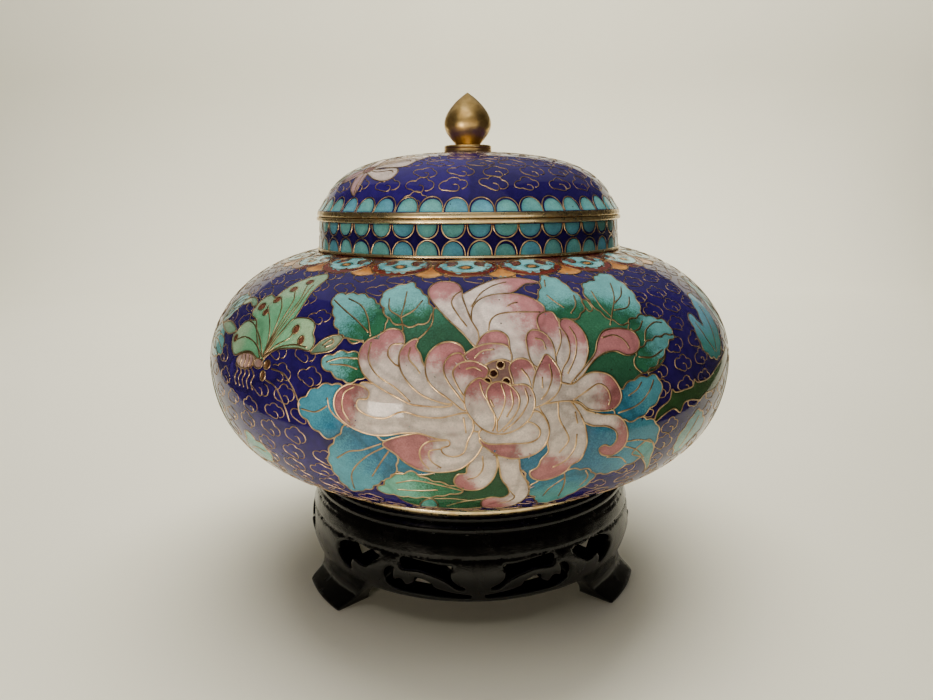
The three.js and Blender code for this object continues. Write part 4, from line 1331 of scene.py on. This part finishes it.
    petal(plan, [(6.3, 70), (7.5, 71.8), (9.2, 71.7), (10.3, 69.8), (10.7, 66.6), (10.4, 62.6), (7.4, 64),
           (6.6, 67.4)], (8.8, 65.5), (7.8, 71.5), ([(8.2, 69.4), (9.3, 67), (9.6, 65)],))
    petal(plan, [(9.4, 59.4), (9.8, 64), (10.5, 68), (11.6, 70.8), (12.7, 72.8), (13.9, 70.8), (14.8, 67.4),
           (14.4, 64), (12.8, 61.2)], (11.8, 64.5), (12.7, 72), ([(13, 70.2), (13.2, 66.8), (12.3, 63.4),
            (11.2, 61.4)], [(11.6, 67), (11.5, 64.2)]))
    petal(plan, [(1.4, 52), (2.6, 49), (4.4, 47), (7, 45.8), (10, 46.6), (12, 49.2), (12.6, 53),
           (11.9, 56.4), (10, 58.6), (6, 56)], (9.5, 50), (4.2, 48))
    petal(plan, [(1.2, 53.4), (2.4, 50.6), (6, 50.3), (9.4, 50.3), (10.9, 51.7), (10.9, 54), (9.2, 55.9),
           (6.5, 56), (3, 55.4)], (6, 52), (6, NO_PINK))
    for azimuth, s in ((2.6, 66.4), (3.7, 68.4), (4.9, 70.5), (5.7, 66.3)):
        oval(plan, azimuth, s, 2.1, 2.1, "#3d2119", "#2c1712", kind="picture")


# %% Heart of the chrysanthemum
def heart(plan):
    """The closed petals in the middle, one over another."""
    petal(plan, [(-0.9, 60), (-0.9, 64), (0.2, 66.4), (1.6, 67.3), (3, 66), (6, 65.4), (8.8, 65.3),
           (10, 63), (10.1, 59.8), (9.2, 56.6), (7.4, 54.2), (5, 53), (2.6, 53.7), (0.6, 56.2)],
          (4.5, 60.5), (4, 68.5), ([(1.4, 66.4), (2, 63.2), (3.4, 59.7), (3.8, 56.3), (3.4, 53.8)],
           [(8.6, 64.4), (9, 61), (7.4, 56.8), (5, 53.6)]))
    petal(plan, [(2.7, 61.4), (2.5, 64), (3.3, 65.9), (4.8, 66.3), (6.2, 65.4), (7.6, 62.6), (7.4, 59.3),
           (6.1, 56.2), (4.2, 53.6), (4, 57)], (4.8, 58.5), (4.6, 66), ([(4.8, 65.9), (5.4, 62.4),
            (5, 59.4), (4.2, 56.6)], [(6.3, 64.4), (6.6, 60.8), (5.6, 57.4)], [(3, 62), (3.6, 60)]))


# %% [markdown]
# ## The butterfly
# A butterfly comes in from the left: a tall pair of wings and a small one on the far side, all pale green
# with brown eye-spots, a short banded body, two long feelers and five bent legs.

# %% Butterfly
WING = "#5e9a73"
WING_EDGE = "#86a483"
BROWN = "#4a3022"


def butterfly(plan):
    """Open ground, hind wing, forewings, eye-spots, body, feelers and legs."""
    ground = [(-50, 66), (-50.4, 58.6), (-43.6, 58), (-41.6, 61), (-38.5, 61.5), (-35, 64), (-38, 67)]
    plan.cell(even(drawn(plan, ground), OUTLINE_STEP, closed=True), COBALT, COBALT_DEEP, wired=False)
    leaf(plan, [(-41, 67.6), (-44.4, 69), (-47.6, 68.2), (-50, 66.7), (-52.2, 68.2), (-53.8, 71.5),
          (-52.8, 73.8), (-51.6, 76.6), (-48.5, 78), (-44.5, 77)], (-44, 71), (-52.5, 71), near=WING,
         far=WING_EDGE, smooth=True)
    leaf(plan, [(-40.4, 67.4), (-44, 73), (-47.4, 78), (-50.8, 79.6), (-51.4, 83), (-50.8, 86), (-49, 87.4),
          (-46.8, 86.8), (-46.2, 90), (-44.8, 93.5), (-43, 96), (-40.6, 98.3), (-38.2, 99.3), (-36.4, 97.5),
          (-36.3, 95), (-36.7, 91), (-36.2, 86), (-36.1, 81.5), (-37, 78), (-38.8, 72)], (-41, 82),
         (-44.5, 92), near=WING, far=WING_EDGE, smooth=True)
    leaf(plan, [(-40.2, 67.5), (-38.7, 73), (-37.5, 77), (-36.3, 80.6), (-33, 81.4), (-31, 80.6), (-30, 79),
          (-29.8, 77), (-28.8, 75), (-29.2, 72.2), (-32, 72.4), (-36, 71.6), (-38.6, 70)], (-38, 73),
         (-30.5, 78), near="#689e77", far="#8fb088", smooth=True)
    root = (-40.3, 68.2)
    for vein in ([(-40.6, 74), (-43, 79), (-47, 83.4)], [(-40, 76), (-41.6, 83), (-44.6, 87)],
                 [(-39.4, 78), (-39.8, 86), (-42, 90)], [(-38.6, 80), (-38.2, 87), (-40, 93)],
                 [(-38.2, 78), (-37.4, 85), (-38.4, 93.6)], [(-43, 73), (-47, 76.6), (-50.6, 77.6)],
                 [(-44, 71.6), (-48.4, 72.6), (-51.6, 71)], [(-37.6, 72.4), (-35, 75), (-34.6, 79)],
                 [(-37.4, 71.4), (-33.6, 73.2), (-30, 73)]):
        loose_wire(plan, [root] + vein)
    for azimuth, s, wide, high in ((-40.5, 94.6, 2.6, 2.1), (-43.2, 90.8, 2.8, 2.2), (-45.5, 86, 2.8, 2.4),
                                   (-49, 82.7, 3.4, 2.5), (-46.1, 81.2, 2.4, 2.2), (-34.3, 77.6, 2.3, 2.7),
                                   (-32, 74.7, 2.0, 2.7), (-52.2, 71.4, 2.2, 2.2)):
        oval(plan, azimuth, s, wide, high, BROWN, "#6e4334", kind="picture")
    oval(plan, -45.6, 66.2, 10.5, 4.6, "#b39b90", "#a58580", turn=8, kind="picture")
    for azimuth in (-47.4, -46, -44.6, -43.4):
        loose_wire(plan, [(azimuth, 64.4), (azimuth + 0.4, 66.4), (azimuth, 68.1)])
    oval(plan, -41.3, 66.4, 4.2, 2.8, "#a8928a", "#96776f", kind="picture")
    oval(plan, -38.7, 66.6, 2.8, 2.4, "#7a5c3a", "#4f3326", turn=35, kind="picture")
    oval(plan, -39.4, 63.4, 2.2, 2.8, "#7a5c3a", "#4f3326", kind="picture")
    loose_wire(plan, [(-37.4, 65.8), (-34, 65), (-31.4, 61.6), (-29.8, 57.4)])
    loose_wire(plan, [(-38.6, 62.6), (-35.6, 61), (-33.6, 56.8), (-32.6, 52.2)])
    for azimuth in np.arange(5) * 1.5 - 49:
        legs = [(azimuth, 64.6), (azimuth + 1.0, 62.8), (azimuth + 0.2, 60.8), (azimuth + 0.8, 58.6)]
        loose_wire(plan, legs)
    leaf(plan, [(-51.6, 83), (-54, 84.8), (-57, 84.8), (-59.6, 82.4), (-58, 81.6), (-55.6, 83), (-53, 82)],
         (-52, 83), (-59, 82), near="#6d8f76", far="#8ba286", smooth=True)
    leaf(plan, [(-53.6, 73.4), (-56, 74.9), (-60, 75.2), (-63.6, 73.4), (-60, 72), (-56, 71.8)], (-54, 73),
         (-63, 73), near="#6d8f76", far="#8ba286", smooth=True)


# %% [markdown]
# ## Sides and back
# What the photo doesn't show is kept plainer. A stem with thorns leads to the right, a small chrysanthemum
# with its leaves fills each side, and a larger one fills the back, between the same clouds.

# %% Side sprays
def small_flower(plan, azimuth, s, reach, petals, pink=PETAL_PINK):
    """A plain chrysanthemum: two rings of petals and a heart."""
    k = 1 / plan.sheet.squeeze([plan.sheet.at(azimuth, s)])[0]
    wide = math.degrees(1 / s) if plan.sheet.disc else math.degrees(k / BODY_RADIUS)
    for ring, (inner, outer, count) in enumerate(((0.2, 1.0, petals), (0.1, 0.66, petals - 2))):
        for n in range(count):
            a = 2 * math.pi * (n + 0.5 * ring) / count + 0.2
            base = (azimuth + wide * inner * reach * math.cos(a), s + inner * reach * math.sin(a))
            long = reach * outer * plan.chance.uniform(0.85, 1.1)
            tip = (azimuth + wide * long * math.cos(a), s + long * math.sin(a))
            hand = 1 if n % 2 else -1
            plain_petal(plan, "hook" if ring == 0 else "club", base, tip,
                        2.5 * reach / petals * (1.25 - 0.2 * ring), 0.1 * hand, hand, blush=0.62, far=pink,
                        folded=ring == 0)
    oval(plan, azimuth, s, reach * 0.34, reach * 0.34, "#b8904e", "#7c5030", kind="picture")


def side_sprays(plan):
    """The stem with its thorns and the leaves and flowers at the jar's two sides."""
    leaf(plan, [(33.4, 51), (34, 54.4), (36.8, 56.6), (37.3, 59.4), (38.4, 58.2), (41, 58.2), (43.8, 58.4),
          (44.3, 60.4), (45.6, 59), (50, 58.8), (54, 60.6), (58, 62), (64, 64), (66, 61.6), (60, 58),
          (54, 54.6), (49, 54.6), (46.8, 53.4), (44, 54.4), (41.3, 54.4), (40.3, 51.8), (38.2, 53.6),
          (35.6, 52.6)], (34, 53), (62, 62), near="#2d4a2b", far="#46603c", smooth=True)
    leaf(plan, [(42, 42), (44, 47), (47, 50), (50, 47), (52, 43), (49, 40), (46, 36), (43.5, 37.5)],
         (48, 48), (44, 38), ([(48, 48), (46, 43), (45, 38)],), near="#4b8d92", far="#7ab0a6")
    leaf(plan, [(50, 78.4), (49.4, 73), (50, 67.6), (53, 64.4), (57, 63.6), (60, 67), (61.8, 74),
          (61.4, 80), (59.4, 84.4), (57, 83), (55.2, 78), (53.6, 73.4), (52, 76.6)], (56, 64), (56, 80),
         ([(55.8, 65), (57.4, 72), (58.6, 80)], [(55, 65.4), (52.6, 70), (51, 75.6)]), near="#3a7d78",
         far="#5b8fa2")
    for base, tip, width, bend in (((66, 60), (58, 30), 13, 0.1), ((72, 66), (68, 90), 12, 0.05)):
        plain_leaf(plan, base, tip, width, bend, near="#37786f")
    plain_leaf(plan, (88, 58), (98, 38), 14, 0.05, near=LEAF_BLUE)
    plain_leaf(plan, (94, 70), (108, 84), 14, 0.05)
    small_flower(plan, 82, 74, 17, 11)
    leaf(plan, [(-49.5, 41), (-47.6, 44.2), (-45.4, 41.8), (-43, 40.6), (-42.2, 37.4), (-44, 34.4),
          (-48, 33), (-52, 35.4)], (-50, 36), (-44, 41), ([(-50.6, 36.4), (-47, 38.6), (-43.4, 38.4)],),
         near="#3f8579", far="#6fae9e")
    for base, tip, width, bend in (((-66, 74), (-59, 84), 8, 0.1), ((-70, 66), (-57, 66), 10, 0.1),
                                   ((-68, 60), (-54, 34), 13, -0.12), ((-78, 58), (-70, 30), 14, 0.05),
                                   ((-92, 64), (-102, 46), 14, -0.05), ((-90, 84), (-100, 94), 11, 0.0)):
        plain_leaf(plan, base, tip, width, bend, near="#37786f")
    small_flower(plan, -80, 75, 16, 10)


def back_spray(plan):
    """One chrysanthemum with its leaves at the back, and a small flower with two leaves beside it."""
    for base, tip, width in (((170, 60), (148, 74), 17), ((182, 62), (206, 70), 17),
                             ((176, 50), (160, 32), 17), ((178, 50), (196, 34), 17),
                             ((172, 78), (160, 94), 14), ((184, 78), (198, 92), 14)):
        plain_leaf(plan, base, tip, width, 0.04, near=LEAF_GREEN if base[1] > 55 else LEAF_BLUE)
    small_flower(plan, 177, 62, 24, 13)
    plain_leaf(plan, (128, 62), (138, 48), 12, 0.05)
    plain_leaf(plan, (128, 66), (118, 80), 12, 0.05)
    small_flower(plan, 127, 64, 9, 8)


# %% [markdown]
# ## The bowl's plan
# Now the strip is laid out in a painter's order: the cobalt ground, the two rows of half-rounds on the neck,
# the collar, the foliage, the flower and the butterfly. The clouds come last, because they may only lie on
# open ground.

# %% Bowl plan
bowl = Plan(body, seed=11)
belt(bowl, 0, body.length, COBALT, COBALT_DEEP)
for k in range(NECK_ROUNDS):
    half_round(bowl, BOWL_SEAM + (k + 0.5) * 360 / NECK_ROUNDS, NECK_START + 0.7, ROUND_RADIUS, 1, 4.5)
    half_round(bowl, BOWL_SEAM + (k + 0.5) * 360 / NECK_ROUNDS, body.length - 0.2, ROUND_RADIUS, -1, 3.8)
collar(bowl)
side_sprays(bowl)
front_foliage(bowl)
back_spray(bowl)
great_flower(bowl)
heart(bowl)
butterfly(bowl)
rows = [(s, int(2 * math.pi * np.interp(s, body.s, body.r) / CLOUD_PITCH))
        for s in np.arange(2.7, 18) * CLOUD_ROW]
sky(bowl, rows)
print("bowl:", len(bowl.cells), "cells,", len(bowl.wires), "wires")

# %% [markdown]
# ## The lid's plan
# The lid is drawn on a disc. A chrysanthemum of its own lies towards the left, seen nearly edge-on from the
# front, and a plainer one balances it at the back.

# %% Lid plan
def lid_flower(plan, middle, petals):
    """A spray of long petals round a point, each by its kind, tip, width and bend."""
    for kind, tip, width, bend in petals:
        pink = "#c2b2a8" if kind == "club" else "#a8868a"
        plain_petal(plan, kind, middle, tip, width, bend, blush=0.25, far=pink)
    oval(plan, *middle, 5.0, 4.0, "#94706a", "#7a5550", kind="picture")


cover = Plan(lid, seed=12)
rim_circle = np.array([cover.sheet.at(a, lid.length) for a in np.arange(0, 360, 360 / RING_STEPS)])
cover.cell(rim_circle, COBALT, COBALT_DEEP, wired=False)
for k in range(LID_ROUNDS):
    half_round(cover, (k + 0.5) * 360 / LID_ROUNDS, lid.length - 0.3, ROUND_RADIUS, 1, 4.9)
plain_leaf(cover, (-60, 40), (-84, 30), 9, 0.05)
plain_leaf(cover, (-66, 44), (-82, 48), 8, 0.05)
lid_flower(cover, (-50, 41.5), (("blade", (-64, 47.5), 5.0, 0.05), ("blade", (-46, 53), 5.5, -0.08),
                                ("hook", (-44, 25), 9.0, 0.1), ("club", (-24, 31), 9.0, 0.1),
                                ("hook", (-72, 33), 8.0, -0.1), ("club", (-27, 36.5), 8.0, 0.04),
                                ("club", (-30, 44), 7.0, -0.12)))
plain_leaf(cover, (120, 36), (98, 42), 10, 0.05)
plain_leaf(cover, (132, 36), (152, 44), 10, 0.05)
small_flower(cover, 126, 36, 12, 9)
rows = [(s, int(2 * math.pi * np.interp(s, lid.s, lid.r) / CLOUD_PITCH))
        for s in np.arange(2.8, 10) * CLOUD_ROW]
sky(cover, rows, size=1.08)
print("lid:", len(cover.cells), "cells,", len(cover.wires), "wires")

# %% [markdown]
# ## Glass on the bowl and the lid
# The outer skin comes from the plan. A lining of plain enamel closes it into a true wall: over the lip and
# down inside to the floor, and across the underside.

# %% Vessels
def lining_rows(verts, faces, edge, rows, last, sheet_angles):
    """Rings of lining from an edge of the skin to the axis."""
    count = len(edge)
    before = list(edge)
    for radius, height in rows:
        ring = list(range(len(verts), len(verts) + count))
        verts.extend([(radius * math.sin(a), -radius * math.cos(a), height) for a in sheet_angles])
        for k in range(count):
            n = (k + 1) % count
            faces.append((before[k], before[n], ring[n], ring[k]))
        before = ring
    verts.append((0, 0, last))
    faces.extend([(before[k], before[(k + 1) % count], len(verts) - 1) for k in range(count)])


def vessel(name, plan, border, allowed, linings, lining_glass, replaced):
    """A closed enamelled wall: the skin from the plan and its linings."""
    points, triangles, owner, gap = glass(plan, border, allowed)
    same = np.arange(len(points))
    if not plan.sheet.disc:
        left = {round(y, 3): k for k, (x, y) in enumerate(points) if abs(x - STRIP_START) < 1e-4}
        for k, (x, y) in enumerate(points):
            if abs(x - STRIP_END) < 1e-4:
                same[k] = left[round(y, 3)]
    kept, compact = np.unique(same[triangles], return_inverse=True)
    skin = plan.sheet.place(points[kept])
    normals = plan.sheet.normal(points[kept])
    verts, faces = skin.tolist(), [tuple(map(int, t)) for t in compact.reshape(triangles.shape)]
    angle, s = plan.sheet.polar(points[kept])
    for edge_s, rows, last in linings:
        edge = np.flatnonzero(np.abs(s - edge_s) < 1e-4)
        edge = edge[np.argsort(angle[edge])]
        lining_rows(verts, faces, edge.tolist(), rows, last, angle[edge])
    thing = piece(name, verts, faces, enamel, replaced)
    mesh = thing.data
    paint(mesh, plan, points, triangles, owner, gap, lining_glass)
    face_outward(mesh)
    smooth = np.array([v.normal for v in mesh.vertices])
    smooth[:len(normals)] = normals
    mesh.normals_split_custom_set_from_vertices(smooth.tolist())
    print(name, len(mesh.polygons), "faces, open edges", open_edges(mesh))


def inner_line(sheet, wall, floor, steps):
    """The inside of a wall, thinned to a few steps, above a floor."""
    r, z = sheet.r - wall * sheet.nr, sheet.z - wall * sheet.nz
    keep = np.flatnonzero(z > floor)
    keep = keep[np.linspace(0, len(keep) - 1, steps).astype(int)]
    return list(zip(r[keep], z[keep]))


grid = np.linspace(STRIP_START, STRIP_END, RING_STEPS + 1)
side = np.arange(2.0, body.length - 1, 2.0)
border = np.vstack([[(x, 0) for x in grid], [(STRIP_END, y) for y in side],
                    [(x, body.length) for x in grid[::-1]], [(STRIP_START, y) for y in side[::-1]]])


def on_strip(points, margin=0.7):
    """Which points lie inside the bowl's strip, at least the margin from its border."""
    x, y = points.T
    return ((x > STRIP_START + margin) & (x < STRIP_END - margin)
            & (y > margin) & (y < body.length - margin))


def on_disc(points, margin=0.7):
    """Which points lie inside the lid's disc, at least the margin from its border."""
    return np.hypot(*points.T) < lid.length * (1 if margin else 1.001) - margin


LINING = "#3f98a4"
LID_WALL = 2.0
inside = inner_line(body, BODY_WALL, BODY_FLOOR, 28)[::-1]
vessel("bowl_enamel", bowl, border, on_strip,
       [(body.length, inside + [(30.0, BODY_FLOOR)], BODY_FLOOR),
        (0.0, [(50.0, FOOT_HEIGHT), (25.0, FOOT_HEIGHT)], FOOT_HEIGHT)], LINING, ("jar_body",))
inside = inner_line(lid, LID_WALL, LID_EDGE, 24)[::-1]
vessel("lid_enamel", cover, rim_circle, on_disc,
       [(lid.length, [(inside[0][0], LID_EDGE)] + inside[:-1], inside[-1][1])], LINING, ("lid",))

# %% Wires on the bowl and the lid
# Plan, kind, the piece's name, the step along the wire and the strip's width, in millimetres
WIRE_SETS = [(bowl, "cloud", "bowl_cloud_wires", 0.6, 0.37),
             (bowl, "back_cloud", "bowl_back_cloud_wires", 0.8, 0.4),
             (bowl, "picture", "bowl_picture_wires", 0.6, 0.6),
             (bowl, "band", "bowl_border_wires", 0.6, 0.5),
             (cover, "cloud", "lid_cloud_wires", 0.6, 0.4),
             (cover, "picture", "lid_picture_wires", 0.6, 0.56),
             (cover, "band", "lid_border_wires", 0.6, 0.42)]
chance = np.random.default_rng(21)
for plan, kind, name, step, width in WIRE_SETS:
    verts, faces = sweep(plan.sheet, seen_runs(plan, {kind}, step), width, chance)
    thing = piece(name, verts, faces, gilt_wire)
    print(name, 2 * len(faces), "triangles, open edges", open_edges(thing.data))

# %% [markdown]
# ## Camera, floor and light
# A plain pale floor sweeps up behind the jar. Soft light falls on it from above and behind, less from the
# front, and one small bright light low on the left gives the square glint on the enamel.

# %% Camera
PHOTO_WIDTH = 933
FOCAL_PIXELS = 720.0
VANISHING_PIXELS = 3373.0  # below the picture's middle, where upright lines would meet
CAMERA_ASIDE = -1.0
CAMERA_DISTANCE = 259.3
CAMERA_HEIGHT = 135.25
CAMERA_PITCH = math.atan(FOCAL_PIXELS / VANISHING_PIXELS)
CAMERA_ROLL = math.radians(0.43)
camera_data = bpy.data.cameras.new("camera")
camera_data.sensor_width = 36.0
camera_data.lens = 36.0 * FOCAL_PIXELS / PHOTO_WIDTH
camera_data.clip_start = 0.01
camera = bpy.data.objects.new("camera", camera_data)
camera.location = (CAMERA_ASIDE * MM, -CAMERA_DISTANCE * MM, CAMERA_HEIGHT * MM)
camera.rotation_euler = (math.pi / 2 - CAMERA_PITCH, CAMERA_ROLL, -CAMERA_ROLL * math.tan(CAMERA_PITCH))
bpy.context.scene.collection.objects.link(camera)
bpy.context.scene.camera = camera
print("lens %.2f mm" % camera_data.lens)


# %% Floor and light
UNEVENNESS = 6.0     # slow changes of tone to a metre


def matt_material(name, dark, light):
    """A matt painted surface: plain, with a breath of unevenness."""
    material, tree, output = new_material(name)
    place = add(tree, "TexCoord").outputs["Object"]
    cloud = add(tree, "TexNoise", None, {"Vector": place, "Scale": UNEVENNESS, "Detail": 2.0})
    colour = add(tree, "Mix", {"data_type": "RGBA"}, {"Factor": cloud.outputs["Fac"], 6: rgb(dark),
                                                      7: rgb(light)})
    shader = add(tree, "BsdfPrincipled", None, {"Base Color": colour.outputs[2], "Roughness": 0.75})
    tree.links.new(shader.outputs[0], output.inputs["Surface"])
    return material


FLOOR_FRONT, FLOOR_BACK, SWEEP, WALL_TOP, HALF_FLOOR = -2.5, 0.75, 0.35, 0.56, 3.0
track = [(FLOOR_FRONT, 0.0), (-0.5, 0.0), (FLOOR_BACK, 0.0)]
track += [(FLOOR_BACK + SWEEP * math.sin(a), SWEEP * (1 - math.cos(a)))
          for a in np.linspace(0, math.pi / 2, 17)[1:]]
track += [(FLOOR_BACK + SWEEP, WALL_TOP)]
sweep_mesh = bpy.data.meshes.new("pale_sweep")
corners = [(x, y, z) for y, z in track for x in (-HALF_FLOOR, HALF_FLOOR)]
sweep_mesh.from_pydata(corners, [], [(2 * k, 2 * k + 1, 2 * k + 3, 2 * k + 2) for k in range(len(track) - 1)])
sweep_mesh.shade_smooth()
backdrop = bpy.data.objects.new("pale_sweep", sweep_mesh)
bpy.context.scene.collection.objects.link(backdrop)
sweep_mesh.materials.append(matt_material("pale_matt_floor", "#ece9d4", "#f2efdb"))


def soft_light(name, size, power, place, aim, colour="#ffffff", mirrored=False):
    """A rectangular light facing a point. A fill stands for light from all over, so no surface mirrors it."""
    data = bpy.data.lights.new(name, "AREA")
    data.shape = "RECTANGLE"
    data.size, data.size_y = size
    data.energy = power
    data.color = rgb(colour)[:3]
    lamp = bpy.data.objects.new(name, data)
    lamp.location = place
    lamp.rotation_euler = (Vector(aim) - Vector(place)).to_track_quat("-Z", "Y").to_euler()
    lamp.visible_glossy = mirrored
    bpy.context.scene.collection.objects.link(lamp)
    return lamp


WARM = "#fffaf2"
glint = soft_light("glint", (0.077, 0.077), 0.45, (-0.172, -0.313, 0.0355), (-0.03, -0.08, 0.062),
                   "#fff2e2", True)
soft_light("from_behind", (2.0, 1.0), 9.5, (0.65, 0.75, 1.35), (0, 0, 0.05), WARM)
soft_light("from_above", (1.0, 1.0), 6.0, (0.3, 0, 1.4), (0, 0, 0), WARM)
soft_light("from_the_front", (0.8, 0.6), 3.6, (-0.1, -0.42, 1.1), (0, 0, 0.08), WARM)
soft_light("backdrop_wash", (1.6, 0.8), 36.0, (0.1, 0.2, 1.5), (0, 1.1, 0.5), WARM)
glows = [soft_light("glow_high", (1.0, 0.6), 4.4, (-0.3, -0.42, 0.75), (0, 0, 0.1), WARM, True),
         soft_light("glow_low", (1.0, 0.24), 1.0, (0, -0.44, 0.12), (0, 0, 0.08), WARM, True)]


def shine_on(name, lamps, finishes):
    """Keeps lights to the pieces with certain finishes."""
    lit = bpy.data.collections.new(name)
    for thing in bpy.context.scene.objects:
        if thing.type == "MESH" and thing.data.materials[0] in finishes:
            lit.objects.link(thing)
    for lamp in lamps:
        lamp.light_linking.receiver_collection = lit


metals = (gilt_wire, gilt_rim, turned_brass)
shine_on("metal_pieces", glows, metals)
shine_on("jar_and_floor", [glint], metals + (enamel, sweep_mesh.materials[0]))

# %% [markdown]
# Little light comes from the front and the sides: the front of the floor and the black stand stay dark, and
# so do the reflections in the enamel. Three dark cards outside the picture give that shade, as they do in a
# studio. They show in the enamel but not to the camera. The world adds light from all over, bright overhead
# and dim along the ground.

# %% Cards
CARD_TOP = 0.6
card_paint = matt_material("dark_matt_card", "#24211f", "#2c2927")
CARDS = (("card_front", (-0.6, -0.5), (0.6, -0.5)), ("card_left", (-0.16, -0.16), (-0.96, 1.0)),
         ("card_right", (0.14, -0.16), (0.94, 1.0)))
for name, start, end in CARDS:
    card_mesh = bpy.data.meshes.new(name)
    card_mesh.from_pydata([(*start, 0), (*end, 0), (*end, CARD_TOP), (*start, CARD_TOP)], [], [(0, 1, 2, 3)])
    card_mesh.materials.append(card_paint)
    card = bpy.data.objects.new(name, card_mesh)
    bpy.context.scene.collection.objects.link(card)
    card.visible_camera = False


# %% Light from all over
def sky_light():
    """Light from all over: bright overhead, dim along the ground."""
    world = bpy.data.worlds.new("sky_light")
    world.use_nodes = True
    tree = world.node_tree
    tree.nodes.clear()
    way = add(tree, "TexCoord").outputs["Generated"]
    facing = add(tree, "VectorMath", {"operation": "DOT_PRODUCT"}, {0: way, 1: (-0.15, 0.0, 0.99)})
    bright = add(tree, "MapRange", {"interpolation_type": "SMOOTHSTEP"},
                 {"Value": facing.outputs["Value"], "From Min": 0.15, "From Max": 1.0, "To Min": 0.1,
                  "To Max": 0.8})
    glow = add(tree, "Background", None, {"Color": rgb("#dcdad2"), "Strength": bright.outputs[0]})
    output = tree.nodes.new("ShaderNodeOutputWorld")
    tree.links.new(glow.outputs[0], output.inputs["Surface"])
    return world


bpy.context.scene.world = sky_light()
